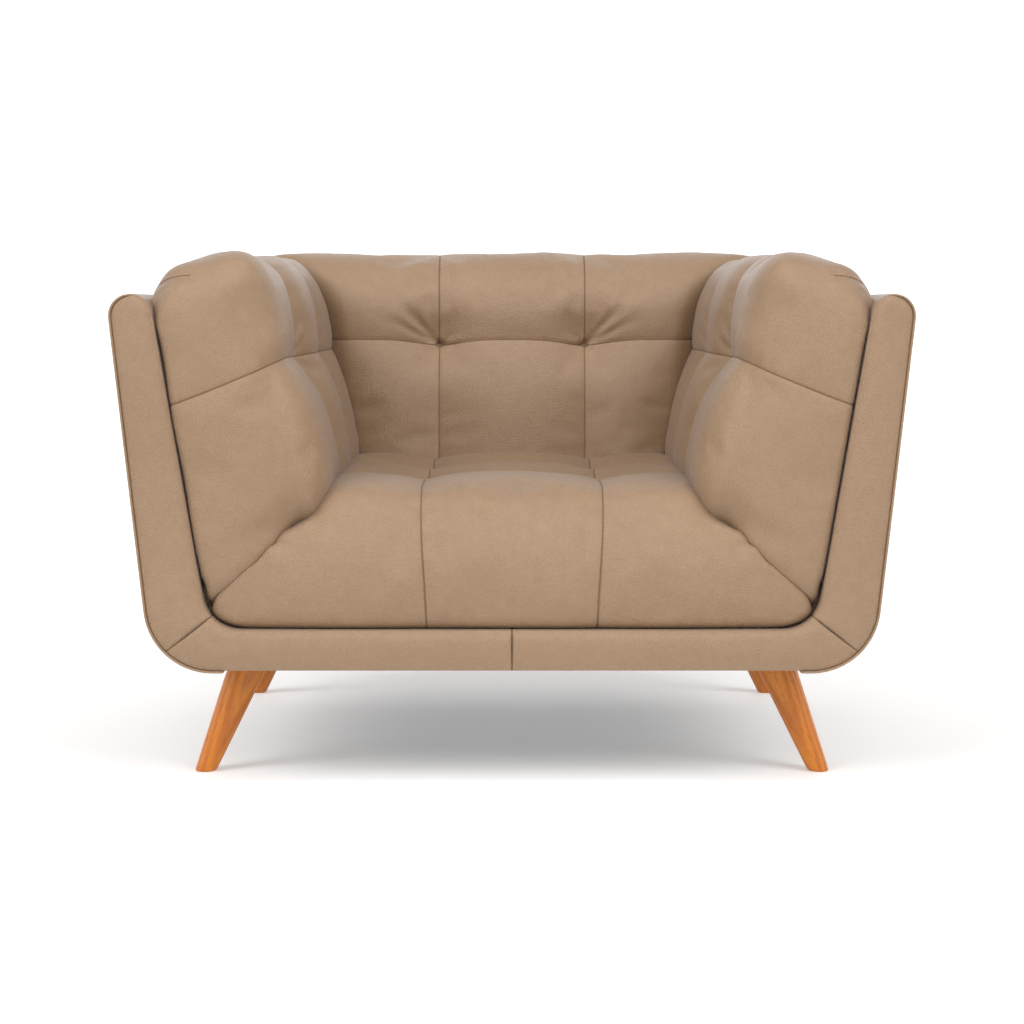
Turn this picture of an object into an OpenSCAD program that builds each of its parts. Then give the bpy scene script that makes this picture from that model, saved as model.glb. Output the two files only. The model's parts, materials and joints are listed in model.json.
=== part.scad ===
// Upholstered armchair: an outer shell of two arms, a base band and a back wall,
// lined with a tufted seat, arm pads and back pad, standing on four splayed legs.
// X runs to the sitter's left, Y from front to back, Z up. The origin is on the floor,
// under the middle of the chair. All sizes are millimetres.

/* [Overall] */
// Width over the outer arms
overall_w = 1100; // [920:10:1320]
// Depth from the front band to the top of the back wall
overall_d = 890; // [860:10:1070]
// Height of the underside above the floor
leg_h = 160; // [130:2:200]
// Height of the shell, from its underside to the top of its arms
body_h = 522; // [500:2:630]
// How far the inner pads stand above the shell
cushion_rise = 70; // [60:2:90]

/* [Shell] */
// Width of the front band at the top of the arm
band_top_w = 60; // [56:1:74]
// Height of the band below the seat
base_band_h = 60; // [54:1:72]
// Lean of the outer sides
side_lean = 6; // [3:0.5:8]
// Lean of the sides of the pads where they meet the band
inner_lean = 9.3; // [8:0.1:11]
// Lean of the outer back
back_lean = 6; // [3:0.5:8]
// Outer radius of the lower corners
corner_r = 95; // [80:1:110]
// Radius of the lower corners at the pads
corner_in_r = 52; // [44:1:62]
// Thickness of the backed leather on the shell
hide_t = 3; // [2:0.5:4]
// Thickness of the padding behind the band's leather
band_pad_t = 9; // [7:1:12]

/* [Pads] */
// Height of the seat's crown above the underside
seat_rise = 257; // [240:1:308]
// Depth of the seat, from its front to the back pad
seat_d = 640; // [540:5:700]
// Width of the seat between the arm pads
seat_w = 532; // [440:4:640]
// Thickness of the seat foam
seat_foam_t = 110; // [92:1:132]
// Thickness of the pads' leather
leather_t = 2; // [1.5:0.5:3]
// Radius of the seat's front roll
seat_roll_r = 95; // [70:1:105]
// Radius of the arm pad's front corner
arm_front_r = 80; // [60:1:96]
// Radius of the roll along the top of an arm pad
pad_roll_r = 80; // [66:1:90]
// Spacing of the seat's tufts across the chair
tuft_x = 252; // [210:2:300]
// Spacing of the back pad's tufts
back_tuft_x = 239; // [200:1:286]
// Distance from the front to the first and second rows of tufts
tuft_y = [284, 505];
// Height of the row of tufts above the underside, on the arms and back
tuft_rise = 445; // [420:1:480]
// Depth of a tuft
tuft_d = 26; // [18:1:32]

/* [Frame] */
// Thickness of the hardwood rails
rail_t = 28; // [22:1:34]
// Thickness of the uprights and base plates
upright_t = 30; // [24:1:36]
// Thickness of the boards that carry the leather and foam
board_t = 4; // [3:0.5:5]
// Number of springs in the seat
seat_springs_n = 6; // [4:2:6]
// Spacing of the seat springs
seat_spring_gap = 110; // [92:2:132]
// Number of springs in the back
back_springs_n = 4; // [2:2:4]
// Spacing of the back springs
back_spring_gap = 150; // [130:2:180]
// Diameter of the spring wire
wire_d = 3.8; // [3:0.2:4.6]
// Width of a spring
spring_w = 50; // [42:1:56]

/* [Legs] */
// Diameter of a leg at the top
leg_top_d = 55; // [44:1:66]
// Diameter of a leg at the foot
leg_foot_d = 28; // [22:1:34]
// Distance of a foot's middle from the chair's centre line
foot_x = 440; // [400:2:460]
// Distance of the feet's middle from the front and from the top of the back
foot_inset = [122, 97];
// How far a leg's foot stands out sideways from its top
splay_x = 64; // [44:1:72]
// How far a leg's foot stands out to the front or back from its top
splay_y = 30; // [26:1:40]
// Diameter of the hanger bolts
bolt_d = 8; // [6:1:10]
// Diameter of the glides
glide_d = 20; // [16:1:22]
// Thickness of the glides
glide_t = 3; // [2:0.5:5]

/* [Hidden] */
$fn = 48;
gap = 0.4;              // clearance between neighbouring pieces
pad_clear = 1.5;        // clearance between the pads and the shell
seam = 0.3;             // opening between two leathers sewn together
arc_n = 10;             // steps in an outline's arc
far = 2000;             // longer than the chair
top_z = leg_h + body_h;
pad_z = top_z + cushion_rise;
seat_z = leg_h + seat_rise;
front_y = -overall_d / 2;
rear_y = overall_d / 2;
roll_r = band_top_w / 2;
roll_x = overall_w / 2 - roll_r;
roll_y = rear_y - roll_r;
roll_z = top_z - roll_r;
frame_in = hide_t + band_pad_t + 2;      // frame's distance inside the shell's skin
flap_z = roll_z - 90;                    // where the sleeve ends inside the arm
corner_z = roll_z - 25;                  // where the back's roll meets the arms' rolls
mitre_a = 38;                            // band's mitre, below the horizontal

// Places in the frame
plate_y = front_y + frame_in;                         // front plate and uprights
rail_y = plate_y + upright_t + gap;                   // front seat rail
rear_plate_y = min(shell_y(leg_h + frame_in, frame_in) - 2, wall_y(corner_z, 0) - gap) - upright_t;
rear_rail_y = rear_plate_y - gap - rail_t;
plate_top = leg_h + corner_r;
spring_z = seat_z - seat_foam_t - 7;
rail_top = spring_z - wire_d / 2 - 2;
rail_foot = leg_h + 26;
front_rail_x = inner_x(rail_top, 0) - 2;
side_rail_x = front_rail_x + gap + 4;
felt_z = spring_z + wire_d / 2 + gap;
felt_t = 3;
foam_z = felt_z + felt_t + gap;                       // underside of the seat and arm foam
pad_front = front_y + 2;                              // front face of the pads
apron_y = rail_y - gap;                               // back of the pads' front aprons

// Where the pads meet
crease = [seat_w / 2, seat_z - 17];
back_face = front_y + seat_d;
arm_face = seat_w / 2 - 5;
pad_side = roll_x - roll_r - pad_clear;                     // outer side of an arm pad, at its top
pad_rear = roll_y - roll_r - pad_clear;                     // rear side of the back pad, at its top
mitre_k = (pad_rear - back_face) / (pad_side - arm_face);
crown_z = pad_z - pad_roll_r;
mitre_foot = inner_c() + (corner_in_r - 1) * dir(-mitre_a);
mitre_dir = (crease - mitre_foot) / norm(crease - mitre_foot);

// Legs and their fixings
leg_top_x = foot_x - splay_x;
plate_s = 72;           // side of a leg plate
leg_top_y = [front_y + foot_inset[0] + splay_y,
    min(rear_y - foot_inset[1] - splay_y, rear_plate_y - plate_s / 2 + 6)];
sleeve_foot_x = min(leg_top_x + 22, outer_c().x - 8);               // where the sleeve ends under the shell
leg_l = norm([splay_x, splay_y, leg_h]);
leg_az = atan2(splay_y, splay_x);
leg_tilt = atan2(norm([splay_x, splay_y]), leg_h);
plate_t = 3;            // a leg plate's thickness
screw_d = 4.5;          // its screws' diameter
block_s = 116;          // side of a leg block
block_t = 20;           // its thickness
block_side = min(block_s / 2, front_rail_x - leg_top_x);            // from a leg's top to its block's outer side
block_end = min(block_s / 2, rear_plate_y - gap - leg_top_y[1]);   // and to its front or rear end
leg_block_z = leg_h + 5;

// Back frame and springs
back_rail_x = side_rail_x - rail_t / 2 + 1;      // outer posts' place, over the side rails' ends
lower_rail_z = seat_z - 60;
clip_w = 10;            // width of a spring clip
clip_l = 14;            // its length
seat_bends = 20;        // bends in a seat spring, whose pitch is a whole number of millimetres
back_bends = 9;         // and in a back spring
back_rail_h = 56;       // height of the back's rails
seat_spring_y = rail_y + rail_t / 2;
seat_spring_l = floor((rear_rail_y + rail_t / 2 - seat_spring_y) / seat_bends) * seat_bends;
back_spring_z = [lower_rail_z + 14, roll_z - 22];
back_spring_l = floor((back_spring_z[1] - back_spring_z[0]) / cos(inner_lean) / back_bends) * back_bends;

// Swell of the pads' faces, and the tufts
roll_set = 52;          // from the arm pad's face, at its middle, back to its roll
bulge_r = 200;
bulge_c = [arm_face - 3 + bulge_r, crease.y + 73];
bulge_a = [143, 199];   // where the swell's arc starts and ends
seat_edge_r = 45;       // radius of the seat's side edges
seat_edge_a = 42;       // and where their arc starts
rear_edge_r = 25;       // radius of the seat's rear edge
button_r = 11;
button_t = 3;
tuft_hole_r = 17;       // hole in the foam round a button
cord_hole_r = 3;        // and round its tie
tuft_z = leg_h + tuft_rise;
arm_tuft_x = pad_face_x(tuft_z) + tuft_d;             // how deep the arm's tufts go, along X
back_tuft_y = to_back([arm_tuft_x, 0]).x;             // and the back's, along Y
facing_in = hide_t + gap;                             // the facings' distance inside the shell's edge

// ---------- outlines ----------

function dir(a) = [cos(a), sin(a)];
function arc(c, r, a0, a1, n = arc_n) = [for (i = [0:n]) c + r * dir(a0 + (a1 - a0) * i / n)];
function reversed(v) = [for (i = [len(v) - 1:-1:0]) v[i]];
function flipped(v) = [for (p = v) [-p.x, p.y]];
function both(v) = concat(v, reversed(flipped(v)));

// The shell's outer side, inner side and back at height z, taken in by i.
function outer_x(z, i) = roll_x + (roll_r - i) / cos(side_lean) + (z - roll_z) * tan(side_lean);
function inner_x(z, i) = roll_x - (roll_r - i) / cos(inner_lean) + (z - roll_z) * tan(inner_lean);
function shell_y(z, i) = roll_y + (roll_r - i) / cos(back_lean) + (z - roll_z) * tan(back_lean);
function wall_y(z, i) = roll_y - (roll_r - i) / cos(inner_lean) + (z - roll_z) * tan(inner_lean);

// Centres of the lower corners, in XZ.
function outer_c() = [outer_x(leg_h + corner_r, 0) - corner_r / cos(side_lean), leg_h + corner_r];
function inner_z() = leg_h + base_band_h + corner_in_r;
function inner_c() = [inner_x(inner_z(), 0) - corner_in_r / cos(inner_lean), inner_z()];

// Right half of the U-shaped band, taken in by i.
function band(i) = concat(
    arc(outer_c(), corner_r - i, -90, -side_lean),
    arc([roll_x, roll_z], roll_r - i, -side_lean, 180 - inner_lean),
    arc(inner_c(), corner_in_r + i, -inner_lean, -90));

// Line of the sleeve, from under the shell, round the side and roll, to the inner flap.
function sleeve_line(i) = concat(
    [[sleeve_foot_x, leg_h + i]],
    arc(outer_c(), corner_r - i, -90, -side_lean),
    arc([roll_x, roll_z], roll_r - i, -side_lean, 180 - inner_lean),
    [[inner_x(flap_z, i), flap_z]]);

// Line of the outer back, from the underside, up and over its roll, to its flap, in YZ.
function back_line(i) = concat(
    [[shell_y(leg_h, i), leg_h]],
    arc([roll_y, roll_z], roll_r - i, -back_lean, 180 - inner_lean),
    [[wall_y(flap_z, i), flap_z]]);

// Cross-section of an arm pad, in XZ, taken in by i; with z0 the height of its underside.
function pad_roll(i) = concat(
    arc([pad_side + 4 - pad_roll_r, crown_z], pad_roll_r - i, 0, 90),
    arc([arm_face + roll_set + pad_roll_r, crown_z], pad_roll_r - i, 90, 180));
function pad_face(i) = arc(bulge_c, bulge_r - i, bulge_a[0], bulge_a[1]);
function pad_face_x(z) = bulge_c.x - sqrt(pow(bulge_r, 2) - pow(z - bulge_c.y, 2));
function pad_section(i, z0) = let (f = crease + i * [mitre_dir.y, -mitre_dir.x]) concat(
    [[inner_x(z0, 0) - pad_clear - i, z0], [inner_x(crown_z - 30, 0) - pad_clear - i, crown_z - 30]],
    pad_roll(i), pad_face(i),
    [f + seam * [1, 0], f + seam * [1, 0] - mitre_dir * (f.y - z0) / mitre_dir.y]);
function mitre_turn(i) = 1 + 60 * (i + seam) / corner_in_r;   // angle of the clearance at the mitre's foot
function apron_section(i) = let (s = [mitre_dir.y, -mitre_dir.x]) concat(
    arc(inner_c(), corner_in_r - pad_clear - i, -mitre_a + mitre_turn(i), -inner_lean),
    [[inner_x(crown_z - 30, 0) - pad_clear - i, crown_z - 30]],
    pad_roll(i), pad_face(i), [crease + (i + seam) * s]);

// The back pad has the arm pad's section, narrowed so that the two meet on the mitre.
function to_back(p) = [back_face + (p.x - arm_face) * mitre_k, p.y];
function back_section(i, z0) = concat(
    [[wall_y(z0, 0) - pad_clear - i, z0], [wall_y(crown_z - 30, 0) - pad_clear - i, crown_z - 30]],
    [for (p = concat(pad_roll(i), pad_face(i))) to_back(p)],
    [[to_back(crease).x + i, z0]]);

// The seat: across the chair in XZ, and from front to back in YZ.
function seat_across(i, z0) = both(concat(
    [crease - [i + seam, 0] - mitre_dir * (crease.y - z0) / mitre_dir.y],
    [crease - [i + seam, 0]],
    arc([crease.x - 45, seat_z - 45], 45 - i, 42, 90, 5)));
function apron_across(i) = both(concat(
    arc(inner_c(), corner_in_r - pad_clear - i, -90, -mitre_a - mitre_turn(i), 6),
    [crease - [i + seam, 0]],
    arc([crease.x - 45, seat_z - 45], 45 - i, 42, 90, 5)));
function seat_rear() = to_back(crease).x - 1;
function seat_along(i, y0, z0) = concat(
    [[y0, z0], [seat_rear() - i, z0], [seat_rear() - i, seat_z - rear_edge_r]],
    arc([seat_rear(), seat_z] - rear_edge_r * [1, 1], rear_edge_r - i, 0, 90, 5),
    arc([pad_front + seat_roll_r, seat_z - seat_roll_r], seat_roll_r - i, 90, 180),
    [[y0, seat_z - seat_roll_r]]);

// ---------- shapes ----------

module along_y(y0, y1) { translate([0, y1, 0]) rotate([90, 0, 0]) linear_extrude(y1 - y0) children(); }
module along_x(x0, x1) { translate([x0, 0, 0]) rotate([90, 0, 90]) linear_extrude(x1 - x0) children(); }
module block(lo, hi) { translate(lo) cube(hi - lo); }
module rod(p, d, r, l) { translate(p) rotate(d) cylinder(h = l, r = r); }
module both_sides() { children(); mirror([1, 0, 0]) children(); }
// Half of the XZ plane on the left of a line through p at angle a.
module beside(p, a) { translate(p) rotate(a) translate([-far, seam / 2]) square([2 * far, far]); }

// ---------- frame ----------

module upright(y0) {
    color("burlywood") along_y(y0, y0 + upright_t) polygon(concat(
        [[inner_x(plate_top + gap, frame_in), plate_top + gap],
         [outer_x(plate_top + gap, frame_in), plate_top + gap]],
        arc([roll_x, roll_z], roll_r - frame_in, -side_lean, 180 - inner_lean)));
}

module base_plate(y0) {
    color("burlywood") along_y(y0, y0 + upright_t) intersection() {
        polygon(both(band(frame_in)));
        translate([-far, 0]) square([2 * far, plate_top]);
    }
}

module seat_rail(y0) {
    color("tan") block([-front_rail_x, y0, rail_foot], [front_rail_x, y0 + rail_t, rail_top]);
}

module side_rail() {
    color("tan") block([side_rail_x, rail_y, rail_foot], [side_rail_x + rail_t, rear_plate_y - gap, rail_top]);
}

// Runs its children at each leg's top: the child's +X and +Y point outwards.
module at_legs() {
    for (sx = [-1, 1]) {
        translate([sx * leg_top_x, leg_top_y[0], 0]) scale_sign(sx, -1) children();
        translate([sx * leg_top_x, leg_top_y[1], 0]) scale_sign(sx, 1) children();
    }
}
module scale_sign(sx, sy) {
    mirror([sx < 0 ? 1 : 0, 0, 0]) mirror([0, sy < 0 ? 1 : 0, 0]) children();
}

module leg_blocks() {
    color("burlywood") at_legs() difference() {
        translate([-block_s / 2, -block_s / 2, leg_block_z])
            cube([block_s / 2 + block_side, block_s / 2 + block_end, block_t]);
        leg_line(bolt_d / 2 + 2, -10, 70);
        plate_holes(screw_d / 2 + 0.05, leg_h, 22);
    }
}

module corner_blocks() {
    s = 90;         // side of a block
    h = 60;         // its height
    z0 = rail_foot + 18;
    color("burlywood") both_sides() {
        translate([front_rail_x - gap, rail_y + rail_t + gap, z0]) mirror([1, 0, 0])
            linear_extrude(h) polygon([[0, 0], [s, 0], [0, s]]);
        translate([front_rail_x - gap, rear_rail_y - gap, z0]) mirror([1, 0, 0])
            linear_extrude(h) polygon([[0, 0], [0, -s], [s, 0]]);
    }
}

module arm_top_rail() {
    s = 2 * (roll_r - frame_in) - 2;
    color("tan") block([roll_x - s / 2, rail_y, roll_z - s], [roll_x + s / 2, rear_plate_y - gap, roll_z + s / 2]);
}

module arm_inner_board() {
    i0 = hide_t + 1;
    z0 = rail_top + 6;
    z1 = roll_z - 2 * (roll_r - frame_in) - 2;
    color("wheat") along_y(rail_y, rear_plate_y - gap) polygon([
        [inner_x(z0, i0), z0], [inner_x(z0, i0 + 2 * board_t), z0],
        [inner_x(z1, i0 + 2 * board_t), z1], [inner_x(z1, i0), z1]]);
}

module arm_outer_board() {
    z0 = leg_h + corner_r;
    i0 = hide_t + 1;
    color("peru") along_y(rail_y, rear_plate_y - gap) polygon([
        [outer_x(z0, i0 + board_t), z0], [outer_x(z0, i0), z0],
        [outer_x(roll_z, i0), roll_z], [outer_x(roll_z, i0 + board_t), roll_z]]);
}

module back_post(x0) {
    z0 = rail_top + gap;
    color("burlywood") along_x(x0 - rail_t / 2, x0 + rail_t / 2) polygon(concat(
        [[wall_y(z0, frame_in), z0], [shell_y(z0, frame_in), z0]],
        arc([roll_y, roll_z], roll_r - frame_in, -back_lean, 180 - inner_lean)));
}

module back_rails(z0, h, t) {
    // A rail between the posts, on the front of the back wall.
    for (sx = [-1, 1]) scale_sign(sx, 1)
        along_x(rail_t / 2 + gap, back_rail_x - rail_t / 2 - gap) polygon([
            [wall_y(z0, frame_in), z0], [wall_y(z0, frame_in) + t, z0],
            [wall_y(z0 + h, frame_in) + t, z0 + h], [wall_y(z0 + h, frame_in), z0 + h]]);
}

module back_outer_board() {
    z0 = leg_h + corner_r;
    i0 = hide_t + 2.5;
    x1 = outer_x(z0, hide_t + 20);
    color("peru") along_x(-x1, x1) polygon([
        [shell_y(z0, i0 + board_t), z0], [shell_y(z0, i0), z0],
        [shell_y(roll_z - 8, i0), roll_z - 8], [shell_y(roll_z - 8, i0 + board_t), roll_z - 8]]);
}

// ---------- springs ----------

// A sinuous spring in the XY plane, from y = 0 to y = l, with n bends.
module sinuous(l, n) {
    pitch = l / n;
    bar = spring_w - pitch;
    for (i = [0:n]) translate([-bar / 2, i * pitch, 0]) rotate([0, 90, 0]) cylinder(h = bar, d = wire_d, $fn = 8);
    for (i = [0:n - 1]) translate([(i % 2 == 0 ? 1 : -1) * bar / 2, (i + 0.5) * pitch, 0])
        rotate(i % 2 == 0 ? -90 : 90) rotate_extrude(angle = 180, $fn = 24)
            translate([pitch / 2, 0]) circle(d = wire_d, $fn = 8);
}

function places(n, step) = [for (i = [0:n - 1]) (i - (n - 1) / 2) * step];

// A clip that holds the end bar of a spring to a rail.
module clip() {
    difference() {
        translate([-clip_w / 2, -clip_l / 2, -wire_d / 2 - 1.6]) cube([clip_w, clip_l, wire_d + 1.8]);
        rod([-clip_w, 0, 0], [0, 90, 0], wire_d / 2 + 0.05, 2 * clip_w);
    }
}

module seat_springs() {
    color("silver") for (x = places(seat_springs_n, seat_spring_gap))
        translate([x, seat_spring_y, spring_z]) sinuous(seat_spring_l, seat_bends);
}

module seat_spring_clips() {
    color("gold") for (x = places(seat_springs_n, seat_spring_gap), y = [0, seat_spring_l])
        translate([x, seat_spring_y + y, spring_z]) clip();
}

module spring_tie_wires() {
    r = 1.5;
    color("dimgray") for (k = [1 / 3, 2 / 3])
        rod([-front_rail_x + 12, seat_spring_y + k * seat_spring_l, spring_z - wire_d / 2 - r - gap],
            [0, 90, 0], r, 2 * (front_rail_x - 12));
}

module at_back_springs() {
    for (x = places(back_springs_n, back_spring_gap))
        translate([x, wall_y(back_spring_z[0], frame_in) - wire_d / 2 - 2.2, back_spring_z[0]])
            rotate([90 - inner_lean, 0, 0]) children();
}

module back_springs() { color("silver") at_back_springs() sinuous(back_spring_l, back_bends); }

module back_spring_clips() {
    color("gold") at_back_springs() for (y = [0, back_spring_l]) translate([0, y, 0]) rotate([180, 0, 0]) clip();
}

module spring_felt() {
    x1 = crease.x + 85;
    color("gray") block([-x1, apron_y + 2, felt_z], [x1, to_back(crease).x - 2, felt_z + felt_t]);
}

// ---------- pads ----------

// Plan of an arm pad: a rounded front corner, and the mitre with the back pad.
module arm_plan(i) {
    x1 = overall_w;
    polygon(concat(
        arc([arm_face - 3 + arm_front_r, pad_front + arm_front_r], arm_front_r - i, 180, 270),
        [[x1, pad_front + i], [x1, to_back([x1, 0]).x - seam - i],
         [arm_face - 3 + i, to_back([arm_face - 3 + i, 0]).x - seam - i]]));
}
module arm_side_view(i) {
    r = 55;
    polygon(concat(
        [[pad_front + i, 0], [wall_y(0, 0) - pad_clear - i, 0],
         [wall_y(crown_z - 30, 0) - pad_clear - i, crown_z - 30], [rear_y, crown_z],
         [rear_y, pad_z + 10], [pad_front + r + 60, pad_z + 10]],
        arc([pad_front + r, pad_z - r - 6], r - i, 90, 180)));
}

module arm_body(i, z0) {
    intersection() {
        union() {
            along_y(apron_y, rear_y) polygon(pad_section(i, z0));
            along_y(front_y, apron_y) polygon(apron_section(i));
        }
        translate([0, 0, -1]) linear_extrude(far) arm_plan(i);
        along_x(0, far) arm_side_view(i);
    }
}

module arm_cover() {
    color("tan") difference() {
        arm_body(0, foam_z);
        arm_body(leather_t, foam_z - 5);
        // open where it is stapled behind the pad
        block([0, apron_y - 6, foam_z - 20], [far, rear_y + 10, foam_z + 12]);
    }
}

module arm_foam() {
    t = leather_t + gap;
    color("khaki") difference() {
        arm_body(t, foam_z);
        for (y = tuft_y) translate([0, front_y + y, tuft_z]) {
            rod([0, 0, 0], [0, 90, 0], cord_hole_r, far);
            rod([0, 0, 0], [0, 90, 0], tuft_hole_r, arm_tuft_x + button_t + gap);
        }
    }
}

module back_mitre(i) {
    // Plan of the back pad between its two mitres.
    x1 = pad_side + 30;
    polygon(both([[0.01, back_face - 60], [arm_face - 6, back_face - 60],
        [arm_face - 6 - i, to_back([arm_face - 6, 0]).x + seam + i], [x1 - i, to_back([x1, 0]).x + seam + i],
        [x1 - i, rear_y + 40], [0.01, rear_y + 40]]));
}

module back_body(i, z0) {
    intersection() {
        along_x(-overall_w, overall_w) polygon(back_section(i, z0));
        along_y(-far, far) polygon(both([
            [inner_x(0, 0) - pad_clear - i, 0], [inner_x(crown_z - 30, 0) - pad_clear - i, crown_z - 30],
            [roll_x, crown_z], [roll_x, far]]));
        linear_extrude(far) back_mitre(i);
    }
}

module back_cover() {
    color("tan") difference() {
        back_body(0, foam_z + 12);
        back_body(leather_t, foam_z - 5);
    }
}

module back_foam() {
    t = leather_t + gap;
    color("khaki") difference() {
        back_body(t, foam_z);
        for (x = [-0.5, 0.5]) translate([x * back_tuft_x, 0, tuft_z]) {
            rod([0, far, 0], [90, 0, 0], cord_hole_r, 2 * far);
            rod([0, back_tuft_y + button_t + gap, 0], [90, 0, 0], tuft_hole_r, far);
        }
    }
}

module seat_body(i, z0) {
    union() {
        intersection() {
            along_y(front_y, rear_y) polygon(seat_across(i, z0));
            along_x(-overall_w, overall_w) polygon(seat_along(i, apron_y - 2, z0));
        }
        intersection() {
            along_y(front_y, apron_y) polygon(apron_across(i));
            along_x(-overall_w, overall_w) polygon(seat_along(i, pad_front + i, 0));
        }
    }
}

module seat_cover() {
    color("tan") difference() {
        seat_body(0, foam_z);
        seat_body(leather_t, foam_z - 5);
        block([-far, apron_y - 6, foam_z - 20], [far, rear_y, foam_z + 12]);
    }
}

module seat_foam() {
    t = leather_t + gap;
    color("khaki") difference() {
        seat_body(t, foam_z);
        for (x = [-0.5, 0.5], y = tuft_y) translate([x * tuft_x, front_y + y, 0]) {
            cylinder(h = far, r = cord_hole_r);
            translate([0, 0, seat_z - tuft_d - button_t - gap]) cylinder(h = far, r = tuft_hole_r);
        }
    }
}

// ---------- tufts ----------

// Runs its children at each tuft, with +Z pointing into the pad; $tie_l is the length of its tie.
module at_tufts() {
    for (x = [-0.5, 0.5], y = tuft_y) translate([x * tuft_x, front_y + y, seat_z - tuft_d]) rotate([180, 0, 0])
        tuft(seat_z - tuft_d - felt_z - felt_t) children();
    for (x = [-0.5, 0.5]) translate([x * back_tuft_x, back_tuft_y, tuft_z]) rotate([-90, 0, 0])
        tuft(wall_y(tuft_z, 0) - back_tuft_y) children();
    both_sides() for (y = tuft_y) translate([arm_tuft_x, front_y + y, tuft_z]) rotate([0, 90, 0])
        tuft(inner_x(tuft_z, 0) - arm_tuft_x) children();
}
module tuft(l) { $tie_l = l - button_t - 6; children(); }

module tuft_ties() { color("ivory") at_tufts() translate([0, 0, button_t + gap]) cylinder(h = $tie_l, r = 1.2); }
module tuft_buttons() { color("peru") at_tufts() cylinder(h = button_t, r = button_r); }

// ---------- shell ----------

module shell_side_view(i) {
    polygon(concat([[front_y + i, leg_h - 5], [shell_y(leg_h - 5, i), leg_h - 5]],
        arc([roll_y, roll_z], roll_r - i, -back_lean, 90), [[front_y + i, top_z - i]]));
}

module shell_cover() {
    color("tan") difference() {
        intersection() {
            along_y(front_y - 1, rear_y + 1) polygon(concat(sleeve_line(0), reversed(sleeve_line(hide_t))));
            along_x(0, far) shell_side_view(0);
        }
        // the back wall's roll takes the place of the arm's at the corner
        block([0, wall_y(corner_z, 0) - gap, flap_z - 5], [roll_x, far, top_z + 5]);
        plate_openings();
    }
}

module shell_cover_back() {
    i0 = 1;
    t = hide_t + gap;
    half = concat(arc(outer_c(), corner_r - t, -90, -side_lean),
        arc([roll_x, roll_z], roll_r - t, -side_lean, 90), [[roll_x - gap, top_z + 5]]);
    low = concat(arc(outer_c(), corner_r - t, -90, -side_lean), [[outer_x(roll_z - 4, t), roll_z - 4]]);
    color("tan") intersection() {
        along_x(-overall_w, overall_w) polygon(concat(back_line(i0), reversed(back_line(i0 + hide_t))));
        union() {
            along_y(0, rear_y + 5) polygon(both(half));
            along_y(roll_y, rear_y + 5) polygon(both(low));
        }
        // its roll stops at the arms' rolls
        union() {
            block([-far, roll_y, 0], [far, far, far]);
            block([gap - roll_x, 0, corner_z], [roll_x - gap, far, far]);
            block([-inner_x(flap_z, 0), 0, 0], [inner_x(flap_z, 0), far, far]);
            block([-far, 0, 0], [far, far, flap_z - 5]);
        }
    }
}

module facing_plate() {
    along_y(front_y + 1, front_y + 1 + hide_t + band_pad_t - 1) children();
}

module arm_facing() {
    color("tan") facing_plate() intersection() {
        polygon(band_from_middle(facing_in));
        beside(inner_c(), -mitre_a);
    }
}

// The band's outline from the chair's middle, with its lower edge down to the underside where the sleeve ends.
function band_from_middle(i) = concat(
    [[seam / 2, leg_h], [sleeve_foot_x - gap, leg_h], [sleeve_foot_x - gap, leg_h + i]],
    band(i), [[seam / 2, leg_h + base_band_h - i]]);

module base_facing() {
    color("tan") {
        facing_plate() intersection() {
            polygon(band_from_middle(facing_in));
            mirror([0, 1]) beside([inner_c().x, -inner_c().y], mitre_a);
        }
        // the edge tucked under the base
        block([seam / 2, front_y + 1 + hide_t, leg_h], [sleeve_foot_x - gap, plate_y + upright_t, leg_h + 2]);
    }
}

module dust_cover() {
    z0 = leg_h + 3.2;
    color("dimgray") difference() {
        block([-sleeve_foot_x + 6, plate_y + upright_t, z0], [sleeve_foot_x - 6, rear_plate_y, z0 + 1]);
        plate_openings();
    }
}

// ---------- legs ----------

// A round bar along a leg's axis, from t0 above its top to t1 further up; negative is down the leg.
module leg_line(r, t0, l) {
    translate([0, 0, leg_h]) rotate([0, 0, leg_az]) rotate([0, -leg_tilt, 0]) translate([0, 0, t0]) cylinder(h = l, r = r);
}

module plate_holes(r, z0, l) {
    for (x = [-1, 1], y = [-1, 1]) translate([x * (plate_s / 2 - 10), y * (plate_s / 2 - 10), z0]) cylinder(h = l, r = r);
}

module leg() {
    over = 30;
    slope = (leg_top_d - leg_foot_d) / 2 / leg_l;
    color("peru") difference() {
        intersection() {
            translate([0, 0, leg_h]) rotate([0, 0, leg_az]) rotate([0, -leg_tilt, 0])
                translate([0, 0, -leg_l - over])
                cylinder(h = leg_l + 2 * over, r1 = leg_foot_d / 2 - slope * over, r2 = leg_top_d / 2 + slope * over);
            block([-far, -far, glide_t + 0.1], [far, far, leg_h - 0.1]);
        }
        leg_line(bolt_d / 2 + 0.1, -46, 80);
    }
}

module one_leg(sx, front) {
    translate([sx * leg_top_x, leg_top_y[front ? 0 : 1], 0]) scale_sign(sx, front ? -1 : 1) leg();
}

// Room for the leg plates in the covers of the underside.
module plate_openings() {
    at_legs() translate([-plate_s / 2 - 1, -plate_s / 2 - 1, leg_h - 5]) cube([plate_s + 2, plate_s + 2, 12]);
}

module leg_plates() {
    color("silver") at_legs() difference() {
        translate([-plate_s / 2, -plate_s / 2, leg_h]) cube([plate_s, plate_s, plate_t]);
        leg_line(bolt_d / 2 + 0.2, -20, 60);
        plate_holes(screw_d / 2 + 0.3, leg_h - 2, 12);
    }
}

module leg_plate_screws() {
    color("gray") at_legs() {
        plate_holes(screw_d / 2, leg_h, 20);
        plate_holes(screw_d / 2 + 2, leg_h - 1.8, 1.7);
    }
}

module hanger_bolts() { color("gray") at_legs() leg_line(bolt_d / 2, -45, 70); }

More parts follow.
